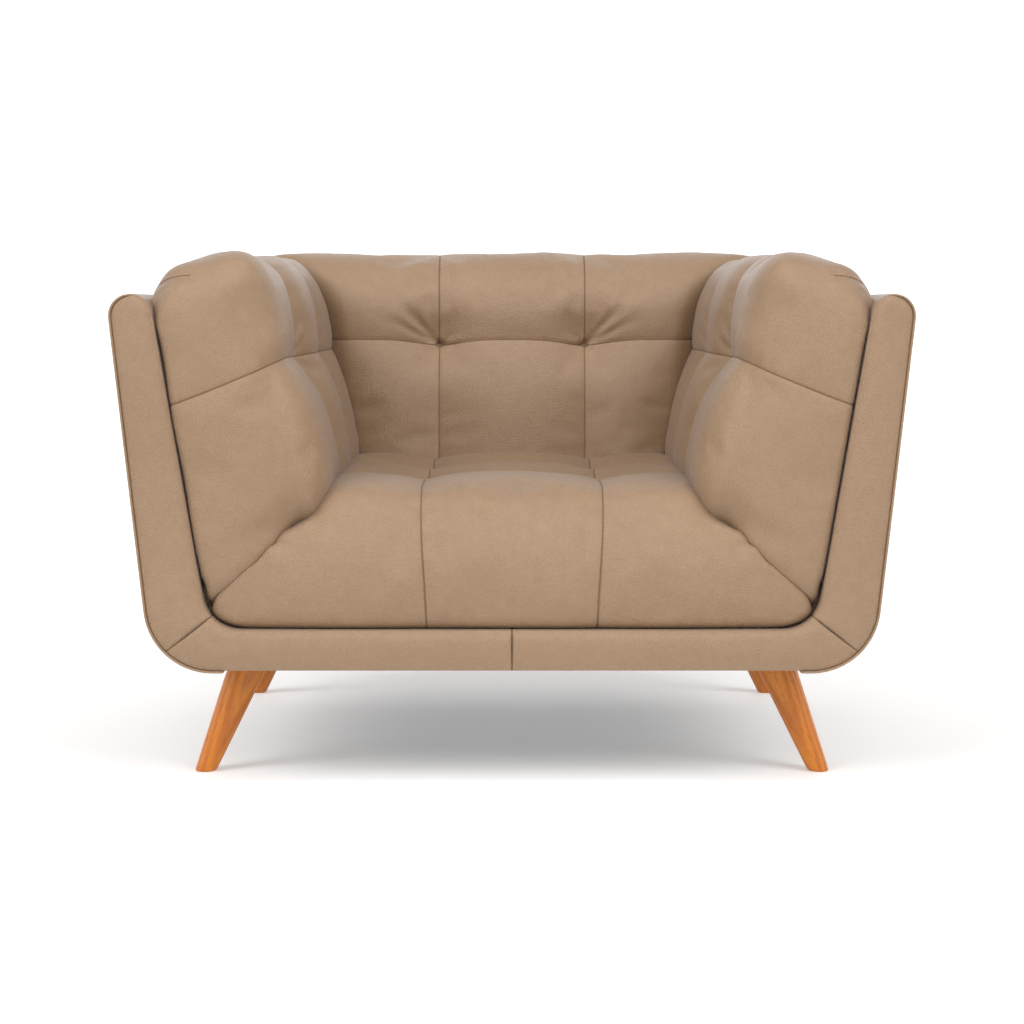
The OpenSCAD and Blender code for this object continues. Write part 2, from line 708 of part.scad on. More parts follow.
module leg_glides() {
    color("black") at_legs() translate([splay_x, splay_y, 0]) cylinder(h = glide_t, d = glide_d);
}

// ---------- nodes ----------

upright(plate_y);  // arm_upright_front_left
mirror([1, 0, 0]) upright(plate_y);  // arm_upright_front_right
upright(rear_plate_y);  // arm_upright_rear_left
mirror([1, 0, 0]) upright(rear_plate_y);  // arm_upright_rear_right
base_plate(plate_y);  // base_plate_front
base_plate(rear_plate_y);  // base_plate_rear
seat_rail(rail_y);  // seat_rail_front
seat_rail(rear_rail_y);  // seat_rail_rear
side_rail();  // seat_rail_left
mirror([1, 0, 0]) side_rail();  // seat_rail_right
leg_blocks();
corner_blocks();
arm_top_rail();  // arm_top_rail_left
mirror([1, 0, 0]) arm_top_rail();  // arm_top_rail_right
arm_inner_board();  // arm_inner_board_left
mirror([1, 0, 0]) arm_inner_board();  // arm_inner_board_right
arm_outer_board();  // arm_outer_board_left
mirror([1, 0, 0]) arm_outer_board();  // arm_outer_board_right
back_post(back_rail_x);  // back_post_left
back_post(0);  // back_post_centre
back_post(-back_rail_x);  // back_post_right
back_rails(roll_z - 50, back_rail_h, rail_t);  // back_top_rail
back_rails(lower_rail_z, back_rail_h, rail_t);  // back_lower_rail
back_outer_board();
seat_springs();
seat_spring_clips();
spring_tie_wires();
back_springs();
back_spring_clips();
spring_felt();
seat_foam();
back_foam();
arm_foam();  // arm_foam_left
mirror([1, 0, 0]) arm_foam();  // arm_foam_right
seat_cover();
back_cover();
arm_cover();  // arm_cover_left
mirror([1, 0, 0]) arm_cover();  // arm_cover_right
tuft_ties();
tuft_buttons();
shell_cover();  // shell_cover_left
mirror([1, 0, 0]) shell_cover();  // shell_cover_right
shell_cover_back();
arm_facing();  // arm_facing_left
mirror([1, 0, 0]) arm_facing();  // arm_facing_right
base_facing();  // base_facing_left
mirror([1, 0, 0]) base_facing();  // base_facing_right
dust_cover();
leg_plates();
leg_plate_screws();
hanger_bolts();
one_leg(1, true);  // leg_front_left
one_leg(-1, true);  // leg_front_right
one_leg(1, false);  // leg_rear_left
one_leg(-1, false);  // leg_rear_right
leg_glides();
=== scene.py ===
import json
import math
import bmesh
import bpy
import numpy as np
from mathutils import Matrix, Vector
from mathutils.bvhtree import BVHTree


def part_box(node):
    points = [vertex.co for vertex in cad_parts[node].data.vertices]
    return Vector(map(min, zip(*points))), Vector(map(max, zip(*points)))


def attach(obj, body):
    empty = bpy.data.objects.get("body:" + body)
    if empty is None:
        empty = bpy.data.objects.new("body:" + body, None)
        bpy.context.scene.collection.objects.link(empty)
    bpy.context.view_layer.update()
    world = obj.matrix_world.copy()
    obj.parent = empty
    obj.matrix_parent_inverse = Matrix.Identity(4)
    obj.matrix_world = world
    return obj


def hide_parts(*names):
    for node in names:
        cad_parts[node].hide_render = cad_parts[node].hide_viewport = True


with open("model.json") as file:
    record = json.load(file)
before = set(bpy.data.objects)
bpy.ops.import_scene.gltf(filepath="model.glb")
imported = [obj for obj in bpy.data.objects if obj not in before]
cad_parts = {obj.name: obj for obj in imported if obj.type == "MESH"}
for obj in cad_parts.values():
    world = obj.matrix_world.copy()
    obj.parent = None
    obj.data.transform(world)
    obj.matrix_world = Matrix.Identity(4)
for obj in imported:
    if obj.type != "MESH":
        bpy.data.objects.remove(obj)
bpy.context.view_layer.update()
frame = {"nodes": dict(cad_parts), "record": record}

# ---------- sizes, in metres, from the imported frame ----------

MM = 0.001
shell_lo, shell_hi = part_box("shell_cover_left")
back_lo, back_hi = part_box("back_cover")
arm_lo, arm_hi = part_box("arm_cover_left")
seat_lo, seat_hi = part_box("seat_cover")
HALF_W = shell_hi.x                      # half of the chair's width
FRONT, REAR = shell_lo.y, shell_hi.y
UNDER, SHELL_TOP = shell_lo.z, shell_hi.z
SEAT_TOP, PAD_TOP = seat_hi.z, back_hi.z
ROLL = 30 * MM                           # radius of the shell's top roll
ROLL_X, ROLL_Y, ROLL_Z = HALF_W - ROLL, REAR - ROLL, SHELL_TOP - ROLL
SIDE_LEAN, INNER_LEAN = math.radians(6), math.radians(9.3)
CORNER_R, CORNER_IN_R = 95 * MM, 52 * MM
BAND = 60 * MM                           # height of the band below the seat
SLEEVE_FOOT = 398 * MM                   # where the side cover ends under the shell
BACK_FACE, ARM_FACE = 195 * MM, 261 * MM  # middle of the back pad's face, and of the arm pads' faces
MITRE_K = (ROLL_Y - ROLL - BACK_FACE) / (ROLL_X - ROLL - ARM_FACE)
PAD_FRONT = FRONT + 4 * MM
ROWS = (284 * MM, 505 * MM)              # depths of the two rows of tufts
TUFT_Z = UNDER + 445 * MM                # height of the tufts on the arms and back
SEAT_TUFT_X, BACK_TUFT_X = 126 * MM, 119.5 * MM
SEAT_EDGE = SEAT_TOP - 13 * MM           # height of the seat's leather before it puffs up
SEAT_ROLL = 98 * MM                      # radius of the roll at the seat's front
SEAT_HALF = 267 * MM                     # the seat's half-width between the arms' pads
APRON = 34 * MM                          # depth of the seat's apron, which hangs lower than the rest
SEAT_TUCK = 9 * MM                       # how far the seat's front tucks in at its foot
INFLATE_CAP = 6 * MM                     # the most that the cloth simulation may move a point


def outer_x(z, inset=0.0):
    """Half-width of the shell's outer side at height z."""
    return ROLL_X + (ROLL - inset) / math.cos(SIDE_LEAN) + (z - ROLL_Z) * math.tan(SIDE_LEAN)


def inner_x(z, inset=0.0):
    """Half-width of the shell's inner side at height z."""
    return ROLL_X - (ROLL - inset) / math.cos(INNER_LEAN) + (z - ROLL_Z) * math.tan(INNER_LEAN)


def shell_y(z, inset=0.0):
    """Place of the shell's outer back at height z."""
    return ROLL_Y + (ROLL - inset) / math.cos(SIDE_LEAN) + (z - ROLL_Z) * math.tan(SIDE_LEAN)


OUT_C = (outer_x(UNDER + CORNER_R) - CORNER_R / math.cos(SIDE_LEAN), UNDER + CORNER_R)
IN_Z = UNDER + BAND + CORNER_IN_R
IN_C = (inner_x(IN_Z) - CORNER_IN_R / math.cos(INNER_LEAN), IN_Z)


def inner_corner(z, inset):
    """Half-width inside the shell's lower inner corner at height z."""
    return IN_C[0] + np.sqrt(np.maximum((CORNER_IN_R - inset) ** 2 - np.minimum(z - IN_C[1], 0) ** 2, 0))


# ---------- number helpers ----------

def smooth(t):
    t = np.clip(t, 0, 1)
    return t * t * (3 - 2 * t)


def lerp(a, b, t):
    return a + (b - a) * t


def bell(d, width):
    return np.exp(-(d / width) ** 2)


def swell(d, width, power=2.4):
    """0 at a seam, rising to 1 at a distance of width from it."""
    return 1 - (1 - np.clip(d / width, 0, 1)) ** power


def pit(r, reach, power=2.0):
    """1 at a tuft, falling to 0 at a distance of reach, with a sharp middle."""
    return (1 - np.clip(r / reach, 0, 1)) ** power


def noise3(p, scale, seed):
    """Smooth waves that look like noise, between about -1 and 1."""
    rng = np.random.default_rng(seed)
    total = np.zeros(len(p))
    for _ in range(7):
        direction = rng.normal(size=3)
        direction /= np.linalg.norm(direction)
        pitch = scale * rng.uniform(0.7, 1.6)
        total += np.sin(p @ direction * (2 * math.pi / pitch) + rng.uniform(0, 2 * math.pi))
    return total / 3.2


def arc_points(centre, r, a0, a1, n):
    a = np.radians(np.linspace(a0, a1, n))
    return np.c_[centre[0] + r * np.cos(a), centre[1] + r * np.sin(a)]


def unit(v):
    return v / np.linalg.norm(v, axis=-1, keepdims=True)


def lengths(line):
    """The distance along a polyline at each of its points."""
    return np.r_[0, np.cumsum(np.linalg.norm(np.diff(line, axis=0), axis=1))]


def outward(line):
    """The unit vectors to the right of a line in a plane, at each of its points."""
    tangent = unit(np.gradient(line, axis=0))
    return np.stack([tangent[:, 1], -tangent[:, 0]], axis=1)


def resample(line, step=None, count=None):
    """The same polyline with evenly spaced points: about step apart, or count of them."""
    line = np.asarray(line, float)
    along = lengths(line)
    at = np.linspace(0, along[-1], count or max(2, int(round(along[-1] / step)) + 1))
    return np.stack([np.interp(at, along, line[:, k]) for k in range(line.shape[1])], axis=1)


# ---------- mesh helpers ----------

def make_object(name, verts, faces, smooth_shading=True):
    mesh = bpy.data.meshes.new(name)
    mesh.from_pydata([tuple(v) for v in verts], [], [tuple(f) for f in faces])
    mesh.validate()
    mesh.polygons.foreach_set("use_smooth", [smooth_shading] * len(mesh.polygons))
    mesh.update()
    obj = bpy.data.objects.new(name, mesh)
    bpy.context.scene.collection.objects.link(obj)
    return obj


def coords(obj):
    co = np.zeros(len(obj.data.vertices) * 3)
    obj.data.vertices.foreach_get("co", co)
    return co.reshape(-1, 3)


def set_coords(obj, co):
    obj.data.vertices.foreach_set("co", np.asarray(co, np.float32).ravel())
    obj.data.update()


def normals(obj):
    out = np.zeros(len(obj.data.vertices) * 3)
    obj.data.vertices.foreach_get("normal", out)
    return out.reshape(-1, 3)


def set_attribute(obj, name, values):
    attribute = obj.data.attributes.get(name) or obj.data.attributes.new(name, "FLOAT", "POINT")
    attribute.data.foreach_set("value", np.asarray(values, np.float32))


def get_attribute(obj, name):
    values = np.zeros(len(obj.data.vertices), np.float32)
    obj.data.attributes[name].data.foreach_get("value", values)
    return values.astype(float)


def bake_modifiers(obj):
    """Replaces the object's mesh with the result of its modifiers."""
    dg = bpy.context.evaluated_depsgraph_get()
    mesh = bpy.data.meshes.new_from_object(obj.evaluated_get(dg), preserve_all_data_layers=True, depsgraph=dg)
    obj.modifiers.clear()
    obj.data = mesh
    return obj


def subdivide(obj, levels=1):
    modifier = obj.modifiers.new("subdivide", "SUBSURF")
    modifier.levels = modifier.render_levels = levels
    return bake_modifiers(obj)


def edges_of(obj):
    edges = np.zeros(len(obj.data.edges) * 2, np.int32)
    obj.data.edges.foreach_get("vertices", edges)
    return edges.reshape(-1, 2)


def grid_faces(rows, cols, offset=0, closed=False):
    """Quads of a grid of rows x cols points. A closed grid joins its last column to its first."""
    faces = []
    for i in range(rows - 1):
        for j in range(cols if closed else cols - 1):
            k = (j + 1) % cols
            faces.append((offset + i * cols + j, offset + i * cols + k,
                          offset + (i + 1) * cols + k, offset + (i + 1) * cols + j))
    return faces


def tube(name, paths, r, sides=6):
    """Thin cords along paths, closed at their ends, as one mesh."""
    verts, faces = [], []
    for path in paths:
        path = np.asarray(path, float)
        if len(path) < 2:
            continue
        start = len(verts)
        tangent = np.gradient(path, axis=0)
        tangent /= np.linalg.norm(tangent, axis=1)[:, None] + 1e-12
        ref = np.array([0.31, 0.52, 0.79])
        side = unit(np.cross(tangent, ref))
        up = np.cross(side, tangent)
        for k in range(len(path)):
            for m in range(sides):
                a = 2 * math.pi * m / sides
                verts.append(path[k] + r * (math.cos(a) * side[k] + math.sin(a) * up[k]))
        faces += grid_faces(len(path), sides, start, closed=True)
        faces.append(tuple(start + m for m in range(sides)))
        faces.append(tuple(start + (len(path) - 1) * sides + m for m in reversed(range(sides))))
    return make_object(name, verts, faces)


# ---------- padded boxes ----------

def lines(stops, step):
    """Grid lines through all of the stops, about step apart."""
    out = [stops[0]]
    for a, b in zip(stops, stops[1:]):
        n = max(1, int(round((b - a) / step)))
        out += list(a + (b - a) * (k + 1) / n for k in range(n))
    return np.array(out)


def box_grid(xs, ys, zs):
    """The surface of a box as a lattice: its points and its faces, which look outwards."""
    nx, ny, nz = len(xs), len(ys), len(zs)
    number = -np.ones((nx, ny, nz), int)
    shell = np.zeros((nx, ny, nz), bool)
    shell[[0, -1], :, :] = shell[:, [0, -1], :] = shell[:, :, [0, -1]] = True
    ijk = np.argwhere(shell)
    number[tuple(ijk.T)] = np.arange(len(ijk))
    faces = []

    def side(a, flip):
        quads = np.stack([a[:-1, :-1], a[1:, :-1], a[1:, 1:], a[:-1, 1:]], axis=-1).reshape(-1, 4)
        faces.append(quads[:, ::-1] if flip else quads)

    side(number[:, :, 0], True)
    side(number[:, :, -1], False)
    side(number[:, 0, :], False)
    side(number[:, -1, :], True)
    side(number[0], True)
    side(number[-1], False)
    points = np.stack([xs[ijk[:, 0]], ys[ijk[:, 1]], zs[ijk[:, 2]]], axis=1)
    return points, np.concatenate(faces)


def rounded(p, lo, hi, r_lo, r_hi):
    """Rounds a box's edges: the radii may differ by side and by point."""
    q = np.clip(p, lo + r_lo, hi - r_hi)
    d = p - q
    r = np.where(d > 0, r_hi, r_lo)
    n = d / np.maximum(r, 1e-9)
    size = np.linalg.norm(n, axis=1)[:, None]
    biggest = np.abs(n).max(axis=1)[:, None]
    return q + n / np.maximum(size, 1e-9) * biggest * r


def inflate(obj, pinned, cap=INFLATE_CAP, pressure=4.0, frames=16, spare=0.006):
    """Blows the pad up as cloth, held where pinned is 1, and moves no point by more than cap."""
    pinned = np.clip(pinned, 0, 1)
    before = coords(obj)
    group = obj.vertex_groups.new(name="held")
    for level in np.unique(np.round(pinned, 2)):
        members = np.flatnonzero(np.round(pinned, 2) == level)
        if level > 0:
            group.add([int(m) for m in members], float(level), "REPLACE")
    cloth = obj.modifiers.new("cloth", "CLOTH")
    s = cloth.settings
    s.vertex_group_mass = "held"
    s.use_pressure = True
    s.uniform_pressure_force = pressure
    s.effector_weights.gravity = 0
    s.quality = 4
    s.mass = 0.5
    s.tension_stiffness = s.compression_stiffness = 25
    s.shear_stiffness = 10
    s.bending_stiffness = 4
    s.shrink_min = -spare
    s.pin_stiffness = 8
    cloth.point_cache.frame_start, cloth.point_cache.frame_end = 1, frames
    scene = bpy.context.scene
    for f in range(1, frames + 1):
        scene.frame_set(f)
    bake_modifiers(obj)
    scene.frame_set(1)
    after = coords(obj)
    move = after - before
    length = np.linalg.norm(move, axis=1)[:, None]
    move *= np.minimum(1, cap / np.maximum(length, 1e-9)) * (1 - pinned[:, None])
    set_coords(obj, before + move)
    obj.vertex_groups.clear()


def sew(obj, depth=1.1 * MM, pull=0.5):
    """Draws the pad in along its seams: the points beside a seam close on it, and the seam sinks."""
    seam = get_attribute(obj, "seam")
    on = seam > 0.98
    co, nrm = coords(obj), normals(obj)
    edges = edges_of(obj)
    for a, b in ((edges[:, 0], edges[:, 1]), (edges[:, 1], edges[:, 0])):
        pick = on[a] & ~on[b]
        co[b[pick]] = lerp(co[b[pick]], co[a[pick]], pull)
    co[on] -= nrm[on] * depth
    set_coords(obj, co)
    return co


def seam_paths(obj, numbers):
    """Lines of points along each seam, from the pad's own edges between its sewn points."""
    co, nrm = coords(obj), normals(obj)
    on = get_attribute(obj, "seam") > 0.98
    paths = []
    for value in numbers:
        mine = on & (np.abs(get_attribute(obj, value)) > 0.98)
        edges = edges_of(obj)
        edges = edges[mine[edges[:, 0]] & mine[edges[:, 1]]]
        link = {}
        for a, b in edges:
            link.setdefault(int(a), []).append(int(b))
            link.setdefault(int(b), []).append(int(a))
        left = set(link)
        while left:
            ends = [v for v in left if len([w for w in link[v] if w in left]) <= 1]
            v = min(ends) if ends else min(left)
            chain = [v]
            left.discard(v)
            while True:
                step = [w for w in link[chain[-1]] if w in left]
                if not step:
                    break
                chain.append(step[0])
                left.discard(step[0])
            if len(chain) > 3:
                paths.append(co[chain] + nrm[chain] * 0.15 * MM)
    return paths


def pleats(disp, u, v, centre, folds, strength=1.0):
    """Folds that run from a tuft: each has an angle in the pad's face, and a length, depth and width in mm."""
    du, dv = u - centre[0], v - centre[1]
    for angle, *sizes in folds:
        length, depth, width = (size * MM for size in sizes)
        a = math.radians(angle)
        along = du * math.cos(a) + dv * math.sin(a)
        across = -du * math.sin(a) + dv * math.cos(a)
        reach = along / length
        shape = np.where(along > 0, np.clip(1 - reach, 0, 1) ** 1.3 * smooth(along / (6 * MM)), 0)
        spread = width * (0.55 + 0.9 * np.clip(reach, 0, 1))
        profile = -bell(across, spread) + 0.55 * bell(np.abs(across) - 1.9 * spread, spread)
        disp += strength * depth * shape * profile
    return disp


def laid_on(pads, points, reach=0.0):
    """Points a hair in front of the pads' faces, at the given places in XZ. Places beyond the pads are
    left out. With a reach the line moves sideways by up to that much, into the groove between the pads."""
    trees = [BVHTree.FromPolygons(coords(pad).tolist(), [tuple(f.vertices) for f in pad.data.polygons])
             for pad in pads]

    def depth(x, z):
        hits = [tree.ray_cast(Vector((x, -1, z)), Vector((0, 1, 0)))[0] for tree in trees]
        return min([hit.y for hit in hits if hit is not None and hit.y < FRONT + 60 * MM], default=None)

    points = np.asarray(points, float)
    side = outward(points)
    steps = np.linspace(-reach, reach, 25) if reach else np.zeros(1)
    moved = []
    for point, across in zip(points, side):
        found = [depth(*(point + across * step)) for step in steps]
        found = [-9.0 if value is None else value for value in found]
        moved.append(steps[int(np.argmax(found))])
    if reach:
        moved = np.convolve(np.pad(moved, 3, mode="edge"), np.full(7, 1 / 7), mode="valid")
    line = []
    for (x, z), across, step in zip(points, side, moved):
        x, z = x + across[0] * step, z + across[1] * step
        y = depth(x, z)
        if y is not None:
            line.append((x, y - 0.1 * MM, z))
    return np.array(line)


def finish(obj, material, slot, *replaced):
    """Gives a piece its one material and its body, and hides the CAD nodes that it stands for. slot is not
    used.
    """
    obj.data.materials.clear()
    obj.data.materials.append(material)
    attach(obj, "root")
    if replaced:
        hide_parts(*replaced)


def lay_thread(name, paths, thread):
    """A sewing thread along each path, as one piece."""
    cord = tube(name, [path for path in paths if len(path) > 3], 0.6 * MM)
    finish(cord, thread, "tan_leather")


# ---------- seat ----------

STEP = 8 * MM
# the mitre, where the seat's front meets the arm's: its distance from the middle and its height
MITRE_FOOT = IN_C[1] - 24 * MM
MITRE_X = (417 * MM, 338 * MM, 303 * MM)
MITRE_Z = (MITRE_FOOT, MITRE_FOOT + 91 * MM, MITRE_FOOT + 117 * MM)


def raise_puffs(obj, puff, shown, u, v, face):
    """Lifts the shown points by their puffs, and keeps their places along the leather for the folds."""
    for key, values in (("u", u), ("v", v), ("face", face)):
        set_attribute(obj, key, values)
    set_coords(obj, coords(obj) + normals(obj) * (puff * shown)[:, None])


def mark_seams(obj, **seams):
    """Keeps each seam's points under the seam's name, and all of them as "seam"."""
    for key, on in (("seam", np.any(list(seams.values()), axis=0)), *seams.items()):
        set_attribute(obj, key, on.astype(float))


def finish_pad(name, obj, replaced, numbers, creases, leather, thread):
    """Presses the folds in, sews the pad, gives it its leather, and lays the thread in its seams."""
    subdivide(obj)
    u, v = get_attribute(obj, "u"), get_attribute(obj, "v")
    disp = np.zeros(len(u))
    for centre, folds in creases:
        pleats(disp, u, v, centre, folds)
    set_coords(obj, coords(obj) + normals(obj) * (disp * get_attribute(obj, "face"))[:, None])
    sew(obj)
    finish(obj, leather, "tan_leather", *replaced)
    lay_thread(name + "_thread", seam_paths(obj, numbers), thread)
    return obj


def seat_half_width(z):
    """Half-width of the seat's sides at height z: the corner, the mitre, then the crease."""
    corner = inner_corner(z, 2.5 * MM)
    crease = MITRE_X[2] - (z - MITRE_Z[2]) * 0.92
    side = np.where(z < MITRE_FOOT, corner, np.where(z < MITRE_Z[2], np.interp(z, MITRE_Z, MITRE_X), crease))
    return np.maximum(side + 7 * MM * smooth((z - MITRE_FOOT) / (20 * MM)), SEAT_HALF)


def seat_recess(z):
    """How far the seat's front lies behind the pads' front at height z."""
    roll = SEAT_EDGE - SEAT_ROLL
    up = np.clip(z - roll, 0, 90 * MM)
    down = np.clip((roll - z) / (roll - UNDER - BAND), 0, 1)
    return SEAT_ROLL - np.sqrt(SEAT_ROLL ** 2 - up ** 2) + SEAT_TUCK * down ** 2


def make_seat(leather, thread):
    ref = SEAT_HALF
    depth, height = 638 * MM, SEAT_EDGE - (UNDER + BAND + 2 * MM)
    tx = SEAT_TUFT_X
    xs = lines([-ref, -tx, tx, ref], STEP)
    ys = lines([0, ROWS[0], ROWS[1], depth], STEP)
    zs = lines([0, height], STEP)
    p, faces = box_grid(xs, ys, zs)
    lo, hi = np.array([-ref, 0, 0]), np.array([ref, depth, height])
    rise = smooth((p[:, 2] - (height - 60 * MM)) / (60 * MM))
    side_r = lerp(2.5 * MM, 36 * MM, rise)
    n = len(p)
    r_lo = np.stack([side_r, np.where(p[:, 2] > height / 2, SEAT_ROLL, 7 * MM), np.full(n, 6 * MM)], axis=1)
    r_hi = np.stack([side_r, np.full(n, 20 * MM), np.full(n, 92 * MM)], axis=1)
    s = rounded(p, lo, hi, r_lo, r_hi)
    # straight form to the seat: the front apron hangs lower than the rest
    under = lerp(0, 84 * MM, smooth((s[:, 1] - APRON) / (10 * MM)))
    z = UNDER + BAND + 0.8 * MM + under + s[:, 2] / height * (height - under)
    half = seat_half_width(z)
    t = np.abs(s[:, 0])
    seam_x = lerp(116.5 * MM, tx, smooth((z - UNDER - BAND) / (180 * MM)))
    x = np.sign(s[:, 0]) * np.where(t < tx, t / tx * seam_x, lerp(seam_x, half, (t - tx) / (ref - tx)))
    y = PAD_FRONT + 3 * MM + s[:, 1]
    roll = SEAT_EDGE - SEAT_ROLL
    tuck = np.clip((roll - z) / (roll - UNDER - BAND), 0, 1)
    y = y + SEAT_TUCK * tuck ** 2 * (s[:, 1] < APRON)
    obj = make_object("seat_pad", np.stack([x, y, z], axis=1), faces)
    # the puffs, from the seams' places along the leather
    run = np.where(p[:, 1] > 0, p[:, 1], p[:, 2] - height)        # from the front's foot over the roll
    top = (p[:, 1] > 0) & (p[:, 2] == hi[2])
    front = p[:, 1] == 0
    shown = top | front
    dx = np.minimum(np.abs(p[:, 0] - tx), np.abs(p[:, 0] + tx))
    edge = ref - np.abs(p[:, 0])
    dy = np.minimum(np.abs(run - ROWS[0]), np.abs(run - ROWS[1]))
    on_top = smooth((run + 60 * MM) / (150 * MM))
    across = lerp(0.62, 1, swell(dx, 70 * MM, 1.9)) * swell(edge + 30 * MM, 70 * MM)
    along = lerp(0.1, 1, swell(dy, 70 * MM, 2.2)) * swell(run + height + 6 * MM, 30 * MM)
    along = along * swell(depth - run + 20 * MM, 60 * MM)
    front_fall = swell(edge, 90 * MM, 1.8)
    rear = smooth((run - ROWS[1]) / (50 * MM))
    puff = lerp(7 * MM * front_fall, lerp(18 * MM, 22 * MM, rear), on_top) * across * along
    creases = []
    for cx in (-tx, tx):
        for cy in ROWS:
            r = np.hypot(p[:, 0] - cx, run - cy)
            puff -= 28 * MM * pit(r, 118 * MM, 1.4)
            out = math.copysign(1, cx)
            turn = 0 if out > 0 else 180
            folds = [(turn + 16 * out, 80, 4.5, 6), (turn + 34 * out, 70, 3.5, 6),
                     (turn + 180 - 20 * out, 72, 4.0, 6), (270 - 28 * out, 56, 2.2, 6),
                     (270 + 35 * out, 48, 1.6, 6)]
            creases.append(((cx, cy), folds))
    # small gathers where the mitre becomes the crease
    for sx in (-1, 1):
        for k, lift in enumerate((-54, -42, -30)):
            slope = 205 + 22 * k
            creases.append(((sx * (ref + 4 * MM), lift * MM),
                            [(slope if sx > 0 else 540 - slope, 62, 2.4, 5)]))
    puff += 0.9 * MM * noise3(coords(obj), 0.16, 3) * np.clip(across * along, 0, 1)
    raise_puffs(obj, puff, shown, p[:, 0], run, shown * 1.0)
    ix = np.isin(np.round(p[:, 0], 6), np.round([-tx, tx], 6)) & shown
    iy = np.isin(np.round(p[:, 1], 6), np.round(ROWS, 6)) & top
    mark_seams(obj, lengthwise=ix, crosswise=iy)
    held = np.where(~shown, 1.0, 0.0)
    held = np.maximum(held, np.where(ix | iy, np.where(front, 0.9, 0.97), 0))
    held = np.maximum(held, bell(edge, 10 * MM) * (1 - on_top) + bell(edge, 6 * MM))
    held = np.maximum(held, bell(run + height, 10 * MM))
    inflate(obj, held)
    return finish_pad("seat", obj, ("seat_cover", "seat_foam"), ("lengthwise", "crosswise"),
                      creases, leather, thread)


# ---------- back ----------

def make_back(leather, thread):
    ref = 262 * MM
    bottom = UNDER + 160 * MM
    top_z = PAD_TOP - 6 * MM
    height = top_z - bottom
    thick = 150 * MM
    seam_h = TUFT_Z + 2 * MM - bottom
    tx = BACK_TUFT_X
    xs = lines([-ref, -tx, tx, ref], STEP)
    ys = lines([0, thick], STEP)
    zs = lines([0, seam_h, height], STEP)
    p, faces = box_grid(xs, ys, zs)
    n = len(p)
    lo, hi = np.array([-ref, 0, 0]), np.array([ref, thick, height])
    end_r = np.full(n, 9 * MM)
    r_lo = np.stack([end_r, np.full(n, 88 * MM), np.full(n, 10 * MM)], axis=1)
    r_hi = np.stack([end_r, np.full(n, 55 * MM), np.full(n, 92 * MM)], axis=1)
    low = p[:, 2] < height / 2
    r_lo[low, 1] = r_hi[low, 1] = 10 * MM
    s = rounded(p, lo, hi, r_lo, r_hi)
    z = bottom + s[:, 2]
    face = BACK_FACE - 6 * MM + (z - 410 * MM) * 0.135
    wall = ROLL_Y - ROLL - 1.5 * MM + np.minimum(z - ROLL_Z, 0) * math.tan(INNER_LEAN)
    y = lerp(face, wall, s[:, 1] / thick)
    half = ARM_FACE + (y - BACK_FACE) / MITRE_K - 0.4 * MM
    t = np.abs(s[:, 0])
    x = np.sign(s[:, 0]) * np.where(t < tx, t, lerp(tx, half, (t - tx) / (ref - tx)))
    top = (p[:, 2] == hi[2])
    front = (p[:, 1] == 0)
    rear = (p[:, 1] == hi[1]) & (z > SHELL_TOP - 40 * MM)
    shown = top | front | rear
    run = np.where(front, p[:, 2], height + p[:, 1])
    run = np.where(rear & ~top, height + thick + (height - p[:, 2]), run)
    # the seam bows up between the tufts
    dip = bell(np.abs(np.abs(x) - tx), 52 * MM) * bell(run - seam_h, 46 * MM)
    z = z - 7 * MM * dip * front + 2.5 * MM * bell(run - seam_h, 60 * MM) * front
    obj = make_object("back_pad", np.stack([x, y, z], axis=1), faces)
    dx = np.abs(np.abs(p[:, 0]) - tx)
    edge = ref - np.abs(p[:, 0])
    dz = np.abs(run - seam_h)
    across = lerp(0.6, 1, swell(dx, 80 * MM, 1.8)) * swell(edge + 16 * MM, 60 * MM, 1.8)
    upper = smooth((run - seam_h) / (60 * MM) + 0.5)
    along = lerp(0.3, 1, swell(dz, 105 * MM, 1.8))
    on_top = smooth((run - height + 40 * MM) / (80 * MM))
    puff = lerp(lerp(20 * MM, 12 * MM, upper), 7 * MM, on_top) * across * along
    creases = []
    for cx in (-tx, tx):
        out = math.copysign(1, cx)
        r = np.hypot(p[:, 0] - cx, run - seam_h)
        puff -= 22 * MM * pit(r, 84 * MM, 1.7)
        up = 90 - 48 * out
        folds = [(up + 6 * out, 104, 5.5, 6), (up - 17 * out, 84, 4.2, 5),
                 (up + 26 * out, 64, 3.2, 5), (90 - 12 * out, 70, 2.4, 5),
                 (270 - 79 * out, 44, 4.4, 5), (90 + 58 * out, 46, 2.0, 6)]
        creases.append(((cx, seam_h), folds))
    puff += 1.2 * MM * noise3(coords(obj), 0.17, 11) * np.clip(across, 0, 1)
    raise_puffs(obj, puff, shown, p[:, 0], run, shown * 1.0)
    ix = np.isin(np.round(p[:, 0], 6), np.round([-tx, tx], 6)) & shown
    iz = np.isclose(p[:, 2], seam_h) & front
    mark_seams(obj, upright=ix, level=iz)
    held = np.where(~shown, 1.0, 0.0)
    held = np.maximum(held, np.where(ix | iz, 0.96, 0))
    held = np.maximum(held, bell(edge, 8 * MM))
    inflate(obj, held)
    return finish_pad("back", obj, ("back_cover", "back_foam"), ("upright", "level"),
                      creases, leather, thread)


# ---------- arm pads ----------

# the dart on an arm's front shoulder, in XZ
DART = [(498, 683), (490, 692.5), (480, 699), (468, 703.5), (455, 706), (441, 707)]
DART = resample(np.array(DART) * MM, 3 * MM)


